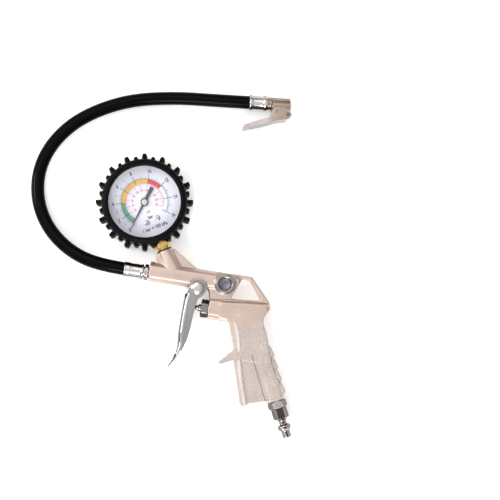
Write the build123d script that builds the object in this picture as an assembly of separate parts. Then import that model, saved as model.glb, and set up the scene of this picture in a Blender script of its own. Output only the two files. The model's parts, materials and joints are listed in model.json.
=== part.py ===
from build123d import *
import math
import os

# Hand-held tyre inflator with a dial gauge, a lever trigger and a short hose with a clip-on chuck.
# Millimetres. The tool lies on its side on the plane z = 0. In the working frame the barrel's
# front face is at x = 0 and its axis runs along +X at height AXIS_Z; +Y is the side of the gauge.
# The finished parts are shifted so that the middle of the tool's base is at the origin.

# --- Driving dimensions -----------------------------------------------------------------------
AXIS_Z = 14.0             # height of the gun's middle plane above the surface it lies on
FIT = 0.06                # radial clearance of a running fit
THREAD_GAP = 0.1          # radial gap left between an outer thread and its tapped hole

BARREL_R = 8.9
BARREL_LENGTH = 80.0
PORT_Y = -1.2             # the hose port sits a little below the barrel's middle
PORT_R = 6.4
PORT_DEPTH = 10.0
AIRWAY_R = 4.0
CHAMBER_R = 8.75
CHAMBER_X = 56.5
CHAMBER_Y = -25.3
FRAME_HALF = 5.5          # half thickness of the rear hook frame and the web
GRIP_HALF = 10.3          # half height of the grip's oval rear tube
PANEL_HALF = 8.2
BEAD_HALF = 9.6

PIVOT_X, PIVOT_Y = 44.5, -8.3
PIVOT_R = 2.0
TRIGGER_INNER = 9.1       # half of the gap between the trigger's two cheeks
TRIGGER_SHEET = 1.5

STEM_TIP_X = 45.0
STEM_R = 2.2
STEM_COLLAR_R = 3.3
GLAND_ACROSS = 14.4
SEAT_X = 64.0
POPPET_X = 68.5
SPRING_END_X = 88.0

BUTTON_X, BUTTON_Y = 68.0, -1.2
BUTTON_R = 5.3
BUTTON_TRAVEL = 1.6
BUTTON_BOSS_TOP = AXIS_Z + 9.3

INLET_X, INLET_Y = 129.0, -96.7     # middle of the grip's foot, where the air comes in
INLET_LEAN = 26.0                   # degrees from -Y
INLET_BORE_R = 3.5
INLET_THREAD_R = 6.9

GAUGE_X, GAUGE_Y = -13.7, 59.6
GAUGE_TILT = 31.5                   # the gauge leans forward, and its dial with it
GAUGE_RISE = 46.0                   # from the gauge's centre to the top of its boss
CASE_R = 34.5
CASE_WALL = 1.2
CASE_BACK_Z = 2.5
CASE_TOP_Z = 30.0
BOOT_R = 37.8
BOOT_TOP_Z = 33.0
BOOT_WINDOW_R = 32.0
LUGS = 16
TALL_LUG_R, TALL_LUG_WIDTH = 43.0, 3.6
SHORT_LUG_R, SHORT_LUG_WIDTH = 40.3, 3.0
LENS_R = 33.2
DIAL_R = 32.6
DIAL_Z = 20.0
DIAL_SHEET = 0.6
SCREWS = [(-4.9, -17.8), (5.4, -17.3)]    # the two dial screws, from the gauge's centre
NEEDLE_REST = 220.5                 # degrees on the dial, where it reads nothing
NEEDLE_Z = 21.6
TOOTH_MODULE = 0.5
PINION_TEETH = 8
SECTOR_TEETH = 64
SECTOR_SIDE = 215.0                 # degrees, where the sector's pivot lies from the pinion
SECTOR_REACH = TOOTH_MODULE * (PINION_TEETH + SECTOR_TEETH) / 2
BOURDON_R = 26.0

HOSE_R = 5.9
FERRULE_R = 6.5
FERRULE_LENGTH = 17.2
NECK_LENGTH = 5.2
CHUCK_DROP = -2.5                   # the chuck's socket lies off the hose's axis
CHUCK_R = 8.0
SOCKET_R = 4.0
SEAL_R = 3.4
SEAL_THICKNESS = 4.0
SOCKET_FLOOR, SOCKET_MOUTH = 22.0, 37.0     # along the chuck, from the end of the hose
LEVER_U, LEVER_V = 24.0, -8.0       # the lever's pivot, along and across the chuck
LEVER_HALF = 9.3
LEVER_SHEET = 1.05
LEVER_PIN_R = 1.2

# The hose leaves the gun, lies down on the surface, turns round the gauge and rises to the chuck.
HOSE_ROUTE = [
    (-22.4, -1.2, 14.0),
    (-47.5, -1.2, 14.0),
    (-75.0, 8.0, 11.0),
    (-97.0, 26.0, 7.6),
    (-110.0, 50.5, 6.0),
    (-112.0, 78.5, 5.9),
    (-101.5, 106.0, 5.9),
    (-79.5, 130.1, 5.9),
    (-43.5, 149.9, 5.9),
    (-2.1, 159.0, 6.2),
    (36.2, 162.0, 9.4),
    (65.0, 165.0, 9.4),
]
CHUCK_X, CHUCK_Y, CHUCK_Z = HOSE_ROUTE[-1]
CHUCK_TILT = math.degrees(math.atan2(CHUCK_Y - HOSE_ROUTE[-2][1], CHUCK_X - HOSE_ROUTE[-2][0]))


# --- Helpers ----------------------------------------------------------------------------------
def slab(points, half, radius=0.0, rim=0.0, z=AXIS_Z):
    """A plate cut to an outline, both ways from height z, corners and rims rounded."""
    if radius:
        outline = FilletPolyline(*points, radius=radius, close=True)
    else:
        outline = Polyline(*points, close=True)
    plate = extrude(Plane.XY.offset(z) * make_face(outline), amount=half, both=True)
    if rim:
        rims = plate.faces().filter_by(Axis.Z).edges()
        plate = fillet(rims, rim)
    return plate


def layer(points, low, high, radius=0.0):
    """A plate between two heights."""
    return slab(points, (high - low) / 2, radius, z=(high + low) / 2)


def disc(x, y, low, high, radius):
    """An upright round bar between two heights."""
    return extrude(Plane((x, y, low)) * Circle(radius), amount=high - low)


def rod(start, end, radius):
    """A round bar from one point to another."""
    way = Vector(*end) - Vector(*start)
    return extrude(Plane(origin=start, z_dir=way) * Circle(radius), amount=way.length)


def turned(profile, place):
    """A turned part: (radius, height) pairs spun about the Z of place."""
    face = make_face(Polyline(*[(r, 0, h) for r, h in profile], close=True))
    return place * revolve(face, Axis.Z)


def hexagon(place, across, low, high):
    """A hexagonal bar along the Z of place, two of its flats facing the local Y."""
    outline = RegularPolygon(radius=across / 2, side_count=6, major_radius=False, rotation=30)
    return place * extrude(Plane.XY.offset(low) * outline, amount=high - low)


def along(x, y, degrees, z=AXIS_Z):
    """A place whose Z points along a direction in the XY plane."""
    turn = math.radians(degrees)
    way = (math.cos(turn), math.sin(turn), 0)
    return Plane(origin=(x, y, z), x_dir=(0, 0, 1), z_dir=way).location


def polar(radius, degrees, x=0.0, y=0.0):
    """A point at a radius and an angle from a centre."""
    turn = math.radians(degrees)
    return (x + radius * math.cos(turn), y + radius * math.sin(turn))


GUN_FRONT = along(0, PORT_Y, 180)
VALVE_LINE = along(CHAMBER_X, CHAMBER_Y, 0)
INLET_LINE = along(INLET_X, INLET_Y, INLET_LEAN - 90)
GAUGE = Location((GAUGE_X, GAUGE_Y, 0), (0, 0, GAUGE_TILT))
STEM_LINE = GAUGE * along(0, 0, -90)
CHUCK = Location((CHUCK_X, CHUCK_Y, 0), (0, 0, CHUCK_TILT))
CHUCK_LINE = CHUCK * along(0, 0, 0, CHUCK_Z)
SOCKET_LINE = CHUCK * along(0, CHUCK_DROP, 0, CHUCK_Z)


# --- The gun's casting ------------------------------------------------------------------------
def barrel():
    body = rod((0, 0, AXIS_Z), (BARREL_LENGTH, 0, AXIS_Z), BARREL_R)
    beyond = [(83.6, -20), (72.5, -20), (74.7, -13.7), (82.5, 5.5), (95, 5.5), (95, -20)]
    return body - slab(beyond, BARREL_R + 1)


def rear_frame():
    """The hanging hook behind the barrel, and the web that joins barrel and valve chamber."""
    outer = [
        (53.0, -4), (56.0, -15), (58.0, -22), (100, -22), (106, -24), (112, -17),
        (109.6, -11.2), (91.0, 9.0), (60.0, 8.6),
    ]
    inner = [(82.5, 5.4), (89.6, 5.4), (102.3, -10.9), (74.9, -13.5)]
    opening = slab(inner, FRAME_HALF + 1, radius=1.2)
    return slab(outer, FRAME_HALF, radius=1.5, rim=1.2) - opening


def chamber():
    """The valve chamber, which runs back into the web of the hand."""
    tube = rod((CHAMBER_X, CHAMBER_Y, AXIS_Z), (98, CHAMBER_Y, AXIS_Z), CHAMBER_R)
    shoulder = [
        (64, -17.0), (88, -14.4), (108.8, -12.8), (111.8, -16.6), (106.4, -26), (107, -33),
        (88, -36), (66, -32),
    ]
    return tube + slab(shoulder, CHAMBER_R - 0.6, radius=2.0, rim=3.0)


def grip():
    """A thick round tube behind, a flat panel in front of it, and a rounded bead down its edge."""
    neck = [(76, -31.5), (106.6, -24), (107, -31), (111, -38), (115.2, -50), (118, -66), (88, -66)]
    panel = [(82.5, -36), (100, -36), (122, -95), (119, -98.2), (102.0, -103.6), (88.5, -66)]
    bead = [
        (77.6, -33), (79.6, -38), (84.9, -58), (85.4, -66), (97.0, -104.2), (98.8, -106.4),
        (103.6, -104.8), (91, -62), (88, -36),
    ]
    foot = INLET_LINE * extrude(Plane.XY * Ellipse(GRIP_HALF, CHAMBER_R), amount=-74)
    foot = foot - turned([(7.6, 1), (7.6, 0), (10.5, -2.6), (15, -2.6), (15, 1)], INLET_LINE)
    shape = slab(neck, PANEL_HALF + 1.2, radius=3.0, rim=3.0)
    shape += slab(panel, PANEL_HALF, radius=1.0)
    shape += slab(bead, BEAD_HALF, radius=2.0, rim=2.0)
    return shape + foot


def finger_bumps():
    """Four raised pads down the back of the grip."""
    lean = Location((INLET_X, INLET_Y, 0), (0, 0, INLET_LEAN))
    shape = None
    for step in range(4):
        low = 4.5 + 11.2 * step
        pad = [(1.5, low), (9.1, low), (10.3, low + 1.6), (9.1, low + 10.4), (1.5, low + 10.4)]
        bump = slab(pad, 8.0, radius=0.9, rim=0.8)
        shape = bump if shape is None else shape + bump
    return lean * shape


def spur():
    """The hook that keeps the middle finger from sliding up the grip."""
    outline = [
        (70.4, -72.4), (84.6, -57.8), (94.6, -51.4), (101.5, -58.6), (98, -61.4), (86, -66.2),
        (75.6, -71.2),
    ]
    return slab(outline, BEAD_HALF + 0.4, radius=0.9, rim=0.7)


def gauge_boss():
    """The leaning boss that the gauge screws into, with a gusset behind it and a small one ahead."""
    profile = [(0, GAUGE_RISE), (7.3, GAUGE_RISE), (8.6, GAUGE_RISE + 20), (0, GAUGE_RISE + 20)]
    post = turned(profile, STEM_LINE)
    gusset = [(15.5, 21.4), (19.2, 22.8), (41.5, 8.6), (41, 2), (18, 2)]
    lobe = [(4.6, 16.0), (3.2, 9.8), (3.4, 4), (14, 4), (12, 15.6)]
    return post + slab(gusset, 3.6, rim=0.8) + slab(lobe, 4.4, rim=0.8)


def pivot_lug():
    return disc(PIVOT_X, PIVOT_Y, AXIS_Z - TRIGGER_INNER + 0.3, AXIS_Z + TRIGGER_INNER - 0.3, 6.0)


def airways():
    """Everything bored out of the casting, to be cut from it."""
    hollow = rod((0, PORT_Y, AXIS_Z), (PORT_DEPTH, PORT_Y, AXIS_Z), PORT_R)
    hollow += rod((0, PORT_Y, AXIS_Z), (72, PORT_Y, AXIS_Z), AIRWAY_R)
    steps = [
        (0, -1), (6.5, -1), (6.5, 5.5), (5.5, 5.5), (5.5, SEAT_X + 3 - CHAMBER_X),
        (5.0, SEAT_X + 3 - CHAMBER_X), (5.0, SPRING_END_X - CHAMBER_X),
        (INLET_BORE_R, SPRING_END_X - CHAMBER_X), (INLET_BORE_R, 38), (0, 38),
    ]
    hollow += turned(steps, VALVE_LINE)
    hollow += rod((63, CHAMBER_Y, AXIS_Z), (63, PORT_Y, AXIS_Z), 1.6)
    inlet = [
        (0, 1), (INLET_THREAD_R + THREAD_GAP, 1), (INLET_THREAD_R + THREAD_GAP, -13),
        (INLET_BORE_R, -13), (INLET_BORE_R, -80), (0, -80),
    ]
    hollow += turned(inlet, INLET_LINE)
    stem = [
        (0, GAUGE_RISE - 1), (5.0, GAUGE_RISE - 1), (5.0, GAUGE_RISE + 12),
        (2.5, GAUGE_RISE + 12), (2.5, GAUGE_RISE + 24), (0, GAUGE_RISE + 24),
    ]
    hollow += turned(stem, STEM_LINE)
    hollow += disc(BUTTON_X, BUTTON_Y, AXIS_Z, 30, 1.6)
    hollow += disc(BUTTON_X, BUTTON_Y, AXIS_Z + 4.9, 30, BUTTON_R + 0.1)
    return hollow + disc(PIVOT_X, PIVOT_Y, -5, 35, PIVOT_R + FIT)


def gun_body():
    solid = barrel() + rear_frame() + chamber() + grip() + finger_bumps() + spur()
    solid += gauge_boss() + pivot_lug()
    solid += disc(BUTTON_X, BUTTON_Y, AXIS_Z, BUTTON_BOSS_TOP, 9.0)
    below = disc(BUTTON_X, BUTTON_Y, AXIS_Z - 9.0, AXIS_Z, 9.0)
    return solid + below - airways()


# --- Trigger and valve ------------------------------------------------------------------------
def trigger():
    """A folded lever: a curved front plate between two cheeks, and a pad that pushes the stem."""
    cheek = [
        (36.4, -13.6), (37.0, -5.4), (40.4, -1.6), (45.0, -0.4), (50.4, -2.6), (53.0, -8.0),
        (49.6, -15.0), (46.2, -17.2), (45.4, -21.0), (44.3, -29.5), (43.4, -44.0),
        (42.0, -55.0), (38.6, -66.0), (34.6, -62.0), (33.6, -35.0), (34.3, -15.5),
    ]
    front = [
        (35.0, -14.5), (34.0, -20.0), (33.5, -35.0), (33.5, -50.0), (34.6, -61.5),
        (33.9, -70.0), (32.0, -76.0), (29.0, -80.0), (30.2, -79.4), (34.6, -73.2),
        (37.4, -66.0), (36.6, -58.0), (35.5, -50.0), (35.5, -35.0), (36.0, -20.0),
        (37.0, -14.5),
    ]
    pad = [(35.2, -20.4), (44.7, -21.6), (44.7, -28.8), (35.0, -30.0)]
    outer = TRIGGER_INNER + TRIGGER_SHEET
    wall = slab(cheek, outer, radius=0.5) - slab(cheek, TRIGGER_INNER)
    shape = wall + slab(front, outer) + slab(pad, TRIGGER_INNER)
    return shape - disc(PIVOT_X, PIVOT_Y, -5, 35, PIVOT_R + FIT)


def trigger_pin():
    """A rivet through both cheeks, domed at each end."""
    face = TRIGGER_INNER + TRIGGER_SHEET + FIT
    head = [(0, face), (4.9, face), (4.7, face + 0.9), (3.5, face + 1.9), (0, face + 2.4)]
    place = Location((PIVOT_X, PIVOT_Y, AXIS_Z))
    flip = place * Location((0, 0, 0), (180, 0, 0))
    shank = disc(PIVOT_X, PIVOT_Y, AXIS_Z - face, AXIS_Z + face, PIVOT_R)
    return shank + turned(head, place) + turned(head, flip)


def gland_nut():
    start = 50.0 - CHAMBER_X
    nut = hexagon(VALVE_LINE, GLAND_ACROSS, start, 0)
    nut += turned([(0, 0), (6.5 - THREAD_GAP, 0), (6.5 - THREAD_GAP, 5.4), (0, 5.4)], VALVE_LINE)
    bore = [
        (0, start - 1), (STEM_COLLAR_R + FIT, start - 1), (STEM_COLLAR_R + FIT, -0.2),
        (STEM_R + FIT, -0.2), (STEM_R + FIT, 6), (0, 6),
    ]
    return nut - turned(bore, VALVE_LINE)


def valve_stem():
    tip = STEM_TIP_X - CHAMBER_X
    profile = [
        (0, tip), (1.2, tip), (STEM_R, tip + 0.8), (STEM_R, tip + 3), (STEM_COLLAR_R, tip + 3),
        (STEM_COLLAR_R, tip + 7.3), (STEM_R, tip + 7.3), (STEM_R, POPPET_X - CHAMBER_X),
        (0, POPPET_X - CHAMBER_X),
    ]
    return turned(profile, VALVE_LINE)


def valve_seat():
    low = SEAT_X - CHAMBER_X
    ring = [(3.2, low), (5.5 - THREAD_GAP, low), (5.5 - THREAD_GAP, low + 3), (3.2, low + 3)]
    return turned(ring, VALVE_LINE)


def valve_seal():
    low = SEAT_X + 3 - CHAMBER_X
    ring = [(STEM_R, low), (4.0, low), (4.0, low + 1.5), (STEM_R, low + 1.5)]
    return turned(ring, VALVE_LINE)


def valve_poppet():
    low = POPPET_X - CHAMBER_X
    profile = [(0, low), (4.2, low), (4.2, low + 3.5), (1.5, low + 3.5), (1.5, low + 9), (0, low + 9)]
    return turned(profile, VALVE_LINE)


def valve_spring():
    low = POPPET_X + 3.5 - CHAMBER_X
    high = SPRING_END_X - CHAMBER_X
    wire = 0.45
    coil = Helix(pitch=2.6, height=high - low - 2 * wire - 0.2, radius=3.4)
    section = Plane(origin=coil @ 0, z_dir=coil % 0) * Circle(wire)
    return VALVE_LINE * Location((0, 0, low + wire + 0.1)) * sweep(section, path=coil)


# --- Bleed button -----------------------------------------------------------------------------
def deflate_button():
    cap = disc(BUTTON_X, BUTTON_Y, AXIS_Z + 6.9, AXIS_Z + 10.4, BUTTON_R)
    cap = chamfer(cap.edges().sort_by(Axis.Z)[-1], 0.5)
    dish = Location((BUTTON_X, BUTTON_Y, AXIS_Z + 10.4 + 13.4)) * Sphere(14.0)
    return cap - dish


def button_ring():
    place = Location((BUTTON_X, BUTTON_Y, BUTTON_BOSS_TOP))
    profile = [(5.5, 0), (8.5, 0), (8.5, 0.7), (8.0, 1.2), (6.2, 1.2), (5.5, 0.6)]
    return turned(profile, place)


def button_spring():
    place = Location((BUTTON_X, BUTTON_Y, AXIS_Z + 4.9))
    tall = BUTTON_TRAVEL + 0.4
    return turned([(3.2, 0), (4.6, 0), (4.6, tall), (3.2, tall)], place)


def bleed_pin():
    return disc(BUTTON_X, BUTTON_Y, AXIS_Z + 1.0, AXIS_Z + 6.9, 1.1)


# --- Air inlet --------------------------------------------------------------------------------
def inlet_collar():
    collar = hexagon(INLET_LINE, 15.0, 0, 6.5)
    thread = [(0, 0), (INLET_THREAD_R, 0), (INLET_THREAD_R, -11), (0, -11)]
    collar += turned(thread, INLET_LINE)
    bore = [(0, -12), (2.8, -12), (2.8, -9), (5.0, -9), (5.0, 7), (0, 7)]
    return collar - turned(bore, INLET_LINE)


def air_plug():
    """The quick-connect nipple of the air line."""
    plug = hexagon(INLET_LINE, 12.4, 6.5, 16.0)
    profile = [
        (0, -2), (4.9, -2), (4.9, 6.5), (5.4, 16.0), (4.6, 17.0), (3.4, 18.2), (3.4, 21.6),
        (5.3, 22.4), (5.85, 23.2), (5.85, 25.4), (4.6, 26.6), (3.9, 27.4), (3.9, 33.0),
        (3.1, 33.8), (0, 33.8),
    ]
    plug += turned(profile, INLET_LINE)
    return plug - turned([(0, -3), (2.5, -3), (2.5, 35), (0, 35)], INLET_LINE)


def inlet_filter():
    profile = [(0, -8.9), (4.9, -8.9), (4.9, -7.6), (3.4, -2.6), (0, -2.6)]
    return turned(profile, INLET_LINE)


# --- Hose and its fittings --------------------------------------------------------------------
def hose_tail(place, thread_r, thread_length, hex_across):
    """A brass tail: a thread into the tool, a hexagon, and a barbed spigot inside the hose."""
    tail = hexagon(place, hex_across, 0, NECK_LENGTH)
    profile = [
        (0, -thread_length), (thread_r, -thread_length), (thread_r, 0), (3.4, NECK_LENGTH),
        (3.4, NECK_LENGTH + FERRULE_LENGTH), (0, NECK_LENGTH + FERRULE_LENGTH),
    ]
    tail += turned(profile, place)
    return tail - turned([(0, -20), (2.2, -20), (2.2, 30), (0, 30)], place)


def ferrule(place, low):
    """A crimped sleeve with a bead near each end, its mouth at the far end of the local Z."""
    high = low + FERRULE_LENGTH
    profile = [
        (3.45, low), (FERRULE_R + 0.1, low), (FERRULE_R + 0.3, low + 1.0), (FERRULE_R, low + 2.0),
        (FERRULE_R - 0.3, low + 3.0), (FERRULE_R - 0.3, high - 4.5), (FERRULE_R, high - 3.0),
        (FERRULE_R + 0.4, high), (3.45, high),
    ]
    return turned(profile, place)


def run_lengths(route):
    return [(Vector(*b) - Vector(*a)).length for a, b in zip(route, route[1:])]


def bend_radii(route):
    """Each arc is as large as its two runs allow."""
    runs = run_lengths(route)
    radii = []
    for n in range(1, len(route) - 1):
        before = Vector(*route[n]) - Vector(*route[n - 1])
        after = Vector(*route[n + 1]) - Vector(*route[n])
        half_turn = math.radians(before.get_angle(after) / 2)
        radii.append(0.45 * min(runs[n - 1], runs[n]) / math.tan(half_turn))
    return radii


def hose():
    path = FilletPolyline(*HOSE_ROUTE, radius=bend_radii(HOSE_ROUTE))
    start = Plane(origin=path @ 0, z_dir=path % 0)
    tube = sweep(start * Circle(HOSE_R), path=path)
    print("hose bends", [round(r, 1) for r in bend_radii(HOSE_ROUTE)])
    print("hose length", round(path.length, 1))
    print("hose volume over section times length", tube.volume / (math.pi * HOSE_R**2 * path.length))
    return tube


# --- Clip-on chuck ----------------------------------------------------------------------------
def chuck_body():
    profile = [
        (0, 20), (6.4, 20), (CHUCK_R, 21.4), (CHUCK_R, SOCKET_MOUTH - 0.4),
        (CHUCK_R - 0.4, SOCKET_MOUTH), (0, SOCKET_MOUTH),
    ]
    shell = turned(profile, SOCKET_LINE)
    lug = [(20.6, -8.0), (21.6, -10.6), (26.4, -10.6), (28, -8), (28, -4), (20.6, -4)]
    shell += CHUCK * slab(lug, 6.0, radius=0.8, z=CHUCK_Z)
    shell += turned([(0, 17), (5.6, 17), (5.6, 21.5), (0, 21.5)], CHUCK_LINE)
    seal_top = SOCKET_FLOOR + SEAL_THICKNESS
    socket = [
        (0, SOCKET_FLOOR), (SEAL_R, SOCKET_FLOOR), (SEAL_R, seal_top), (SOCKET_R, seal_top),
        (SOCKET_R, SOCKET_MOUTH + 1), (0, SOCKET_MOUTH + 1),
    ]
    shell -= turned(socket, SOCKET_LINE)
    shell -= turned([(0, 9), (4.1, 9), (4.1, 19), (0, 19)], CHUCK_LINE)
    shell -= CHUCK * rod((18, 0, CHUCK_Z), (23, CHUCK_DROP + 1.7, CHUCK_Z), 0.9)
    shell -= CHUCK * disc(LEVER_U, LEVER_V, CHUCK_Z + 6.1, CHUCK_Z + 9, 3.0)
    slot = [(32.4, -12), (38, -12), (38, -5.5), (32.4, -5.5)]
    shell -= CHUCK * slab(slot, 2.2, z=CHUCK_Z)
    return shell - CHUCK * disc(LEVER_U, LEVER_V, -5, 25, LEVER_PIN_R + FIT)


def chuck_tail():
    """The barbed tail that joins hose and chuck."""
    profile = [(2.0, 0), (3.4, 0), (3.4, 16.9), (4.0, 16.9), (4.0, 18.8), (2.0, 18.8)]
    return turned(profile, CHUCK_LINE)


def chuck_ferrule():
    profile = [
        (3.45, 0), (6.9, 0), (6.6, 2.4), (6.2, 3.6), (6.2, 12.4), (6.7, 13.2), (6.7, 15.6),
        (6.2, 16.8), (3.45, 16.8),
    ]
    return turned(profile, CHUCK_LINE)


def chuck_lever():
    """A pressed channel under the chuck: the thumb presses its tail towards the hose."""
    cheek = [
        (19.6, -9.4), (22.4, -4.6), (25.6, -4.2), (33.6, -4.0), (33.9, -14.2), (20.0, -17.0),
        (18.2, -12.4),
    ]
    base = [
        (-5.4, -22.2), (-4.8, -25.0), (12.0, -20.6), (24.2, -16.6), (34.0, -14.8),
        (33.8, -12.8), (20.0, -12.9), (7.6, -17.2),
    ]
    plate = [
        (-5.4, -22.2), (-4.8, -25.0), (12.0, -20.6), (24.2, -16.6), (34.0, -14.8),
        (33.8, -13.0), (24.0, -14.8), (12.4, -18.6),
    ]
    inner = LEVER_HALF - LEVER_SHEET
    lever = slab(cheek, LEVER_HALF, radius=0.6, z=CHUCK_Z) - slab(cheek, inner, z=CHUCK_Z)
    lever += slab(plate, LEVER_HALF, z=CHUCK_Z)
    lever += slab(base, LEVER_HALF, z=CHUCK_Z) - slab(base, inner, z=CHUCK_Z)
    return CHUCK * (lever - disc(LEVER_U, LEVER_V, -5, 25, LEVER_PIN_R + FIT))


def chuck_claw():
    """The jaw on the lever's front end, which bites the valve's thread."""
    claw = [(32.8, -13.4), (33.6, -13.2), (36.4, -13.0), (39.0, -9.4), (37.6, -6.8), (33.2, -6.8)]
    return CHUCK * slab(claw, 1.8, radius=0.4, z=CHUCK_Z)


def chuck_pin():
    face = LEVER_HALF + 0.05
    shank = disc(LEVER_U, LEVER_V, CHUCK_Z - face, CHUCK_Z + face, LEVER_PIN_R)
    head = disc(LEVER_U, LEVER_V, CHUCK_Z + face, CHUCK_Z + 10.0, 1.9)
    return CHUCK * (shank + head)


def chuck_seal():
    top = SOCKET_FLOOR + SEAL_THICKNESS
    profile = [(2.4, SOCKET_FLOOR), (SEAL_R, SOCKET_FLOOR), (SEAL_R, top), (2.4, top)]
    return turned(profile, SOCKET_LINE)


def chuck_spring():
    """One turn and a half of wire round the lever's pin, its arm lying along the channel."""
    coil = disc(LEVER_U, LEVER_V, CHUCK_Z + 6.4, CHUCK_Z + 8.0, 2.6)
    coil -= disc(LEVER_U, LEVER_V, CHUCK_Z + 6, CHUCK_Z + 8.2, 1.6)
    arm = rod((LEVER_U + 1, LEVER_V - 2.2, CHUCK_Z + 7.1), (31.5, -12.2, CHUCK_Z + 7.1), 0.5)
    return CHUCK * (coil + arm)


def valve_depressor():
    top = SOCKET_FLOOR + SEAL_THICKNESS - 0.1
    return turned([(0, SOCKET_FLOOR), (0.7, SOCKET_FLOOR), (0.7, top), (0, top)], SOCKET_LINE)


# --- Gauge ------------------------------------------------------------------------------------
def lug_ring(first, radius, width, low, high, skip):
    """Evenly spaced rubber lugs, rounded at their ends."""
    shape = None
    for n in range(LUGS):
        if n == skip:
            continue
        turn = first + 360.0 / LUGS * n
        bar = slab(
            [(BOOT_R - 1.5, -width / 2), (radius, -width / 2), (radius, width / 2),
             (BOOT_R - 1.5, width / 2)],
            (high - low) / 2, rim=0.9, z=(high + low) / 2,
        )
        bar = Location((0, 0, 0), (0, 0, turn)) * bar
        shape = bar if shape is None else shape + bar
    return shape


def gauge_boot():
    shell = turned(
        [(0, 0), (BOOT_R - 2.4, 0), (BOOT_R, 2.4), (BOOT_R, 28.5), (BOOT_R - 1.2, 31.6),
         (BOOT_R - 3.4, BOOT_TOP_Z), (BOOT_WINDOW_R + 0.9, BOOT_TOP_Z),
         (BOOT_WINDOW_R, BOOT_TOP_Z - 0.9), (BOOT_WINDOW_R, CASE_TOP_Z),
         (CASE_R + 0.1, CASE_TOP_Z), (CASE_R + 0.1, CASE_BACK_Z), (0, CASE_BACK_Z)],
        Location((0, 0, 0)),
    )
    shell += lug_ring(-90, TALL_LUG_R, TALL_LUG_WIDTH, 1.2, 25.0, 0)
    shell += lug_ring(-90 + 180.0 / LUGS, SHORT_LUG_R, SHORT_LUG_WIDTH, 3.0, 28.0, None)
    notch = along(0, 0, -90) * extrude(Plane.XY.offset(30) * Circle(9.4), amount=20)
    return GAUGE * (shell - notch)


def gauge_case():
    inner = CASE_R - CASE_WALL
    cup = turned(
        [(0, CASE_BACK_Z), (CASE_R, CASE_BACK_Z), (CASE_R, CASE_TOP_Z), (inner, CASE_TOP_Z),
         (inner, 25), (inner - 0.4, 25), (inner - 0.4, CASE_BACK_Z + CASE_WALL),
         (0, CASE_BACK_Z + CASE_WALL)],
        Location((0, 0, 0)),
    )
    hole = along(0, 0, -90) * extrude(Plane.XY.offset(25) * Circle(7.0), amount=20)
    return GAUGE * (cup - hole)


def ring(inner, outer, low, high):
    profile = [(inner, low), (outer, low), (outer, high), (inner, high)]
    return GAUGE * turned(profile, Location((0, 0, 0)))


def gauge_lens():
    return GAUGE * disc(0, 0, 26.6, 28.6, LENS_R)


def dial_plate():
    plate = disc(0, 0, DIAL_Z, DIAL_Z + DIAL_SHEET, DIAL_R) - disc(0, 0, 15, 25, 1.2)
    for x, y in SCREWS:
        plate -= disc(x, y, 15, 25, 1.1)
    return GAUGE * plate


def dial_screws():
    top = DIAL_Z + DIAL_SHEET
    screws = []
    for x, y in SCREWS:
        screw = disc(x, y, top, top + 0.8, 2.3) + disc(x, y, top - 4, top, 1.0)
        screw -= slab([(x - 3, y - 0.3), (x + 3, y - 0.3), (x + 3, y + 0.3), (x - 3, y + 0.3)],
                      0.4, z=top + 0.8)
        screws.append(screw)
    return GAUGE * (screws[0] + screws[1])


def gauge_stem():
    """Brass: the block that carries the movement, the wrench hexagon and the threaded spigot."""
    block = layer([(-7, -31), (7, -31), (7, -14.5), (-7, -14.5)], 7.7, DIAL_Z, radius=1.0)
    line = along(0, 0, -90)
    profile = [
        (0, 28), (5.9, 28), (5.9, 32.8), (6.9, 32.8), (6.9, 38), (6.0, 43), (6.0, 45.0),
        (4.9, 45.0), (4.9, 57), (0, 57),
    ]
    stem = block + turned(profile, line) + hexagon(line, 15.6, 38.0, 43.2)
    stem -= turned([(0, 22), (1.8, 22), (1.8, 60), (0, 60)], line)
    for x, y in SCREWS:
        stem -= disc(x, y, DIAL_Z - 4.5, DIAL_Z + 1, 1.05)
    return GAUGE * stem


def gauge_seal_ring():
    low = GAUGE_RISE - 1.0
    profile = [(4.95, low), (6.4, low), (6.7, low + 0.5), (6.4, GAUGE_RISE), (4.95, GAUGE_RISE)]
    return turned(profile, STEM_LINE)


def movement_plate(low, high):
    outline = [(-18, -13.6), (-5, -13.9), (7, -13.9), (7, 7), (-18, 7)]
    plate = layer(outline, low, high, radius=2.0) - disc(0, 0, 0, 30, 0.7 + FIT)
    x, y = polar(SECTOR_REACH, SECTOR_SIDE)
    return plate - disc(x, y, 0, 30, 0.8 + FIT)


def movement_back():
    tongue = layer([(-5, -22), (5, -22), (5, -13), (-5, -13)], 6.5, 7.7)
    return GAUGE * (movement_plate(6.5, 7.7) + tongue)


def movement_front():
    return GAUGE * movement_plate(15.0, 16.2)


def movement_posts():
    spots = [(5.0, -12.0), (5.0, 5.0), (-16.0, 5.0), (-4.0, -12.4)]
    posts = [disc(x, y, 7.7, 15.0, 1.2) for x, y in spots]
    return GAUGE * (posts[0] + posts[1:])


def toothed_arc(teeth, first, last, phase):
    """The outline points of a gear's teeth, by tooth number, on its own centre."""
    pitch_r = TOOTH_MODULE * teeth / 2
    step = 360.0 / teeth
    points = []
    for n in range(first, last + 1):
        middle = phase + n * step
        for radius, offset in ((-0.55, -0.36), (0.38, -0.11), (0.38, 0.11), (-0.55, 0.36)):
            points.append(polar(pitch_r + radius, middle + offset * step))
    return points


def pinion():
    gear = layer(toothed_arc(PINION_TEETH, 0, PINION_TEETH - 1, SECTOR_SIDE), 10.3, 11.9)
    return GAUGE * (gear + disc(0, 0, 6.6, 22.4, 0.7))


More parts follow.
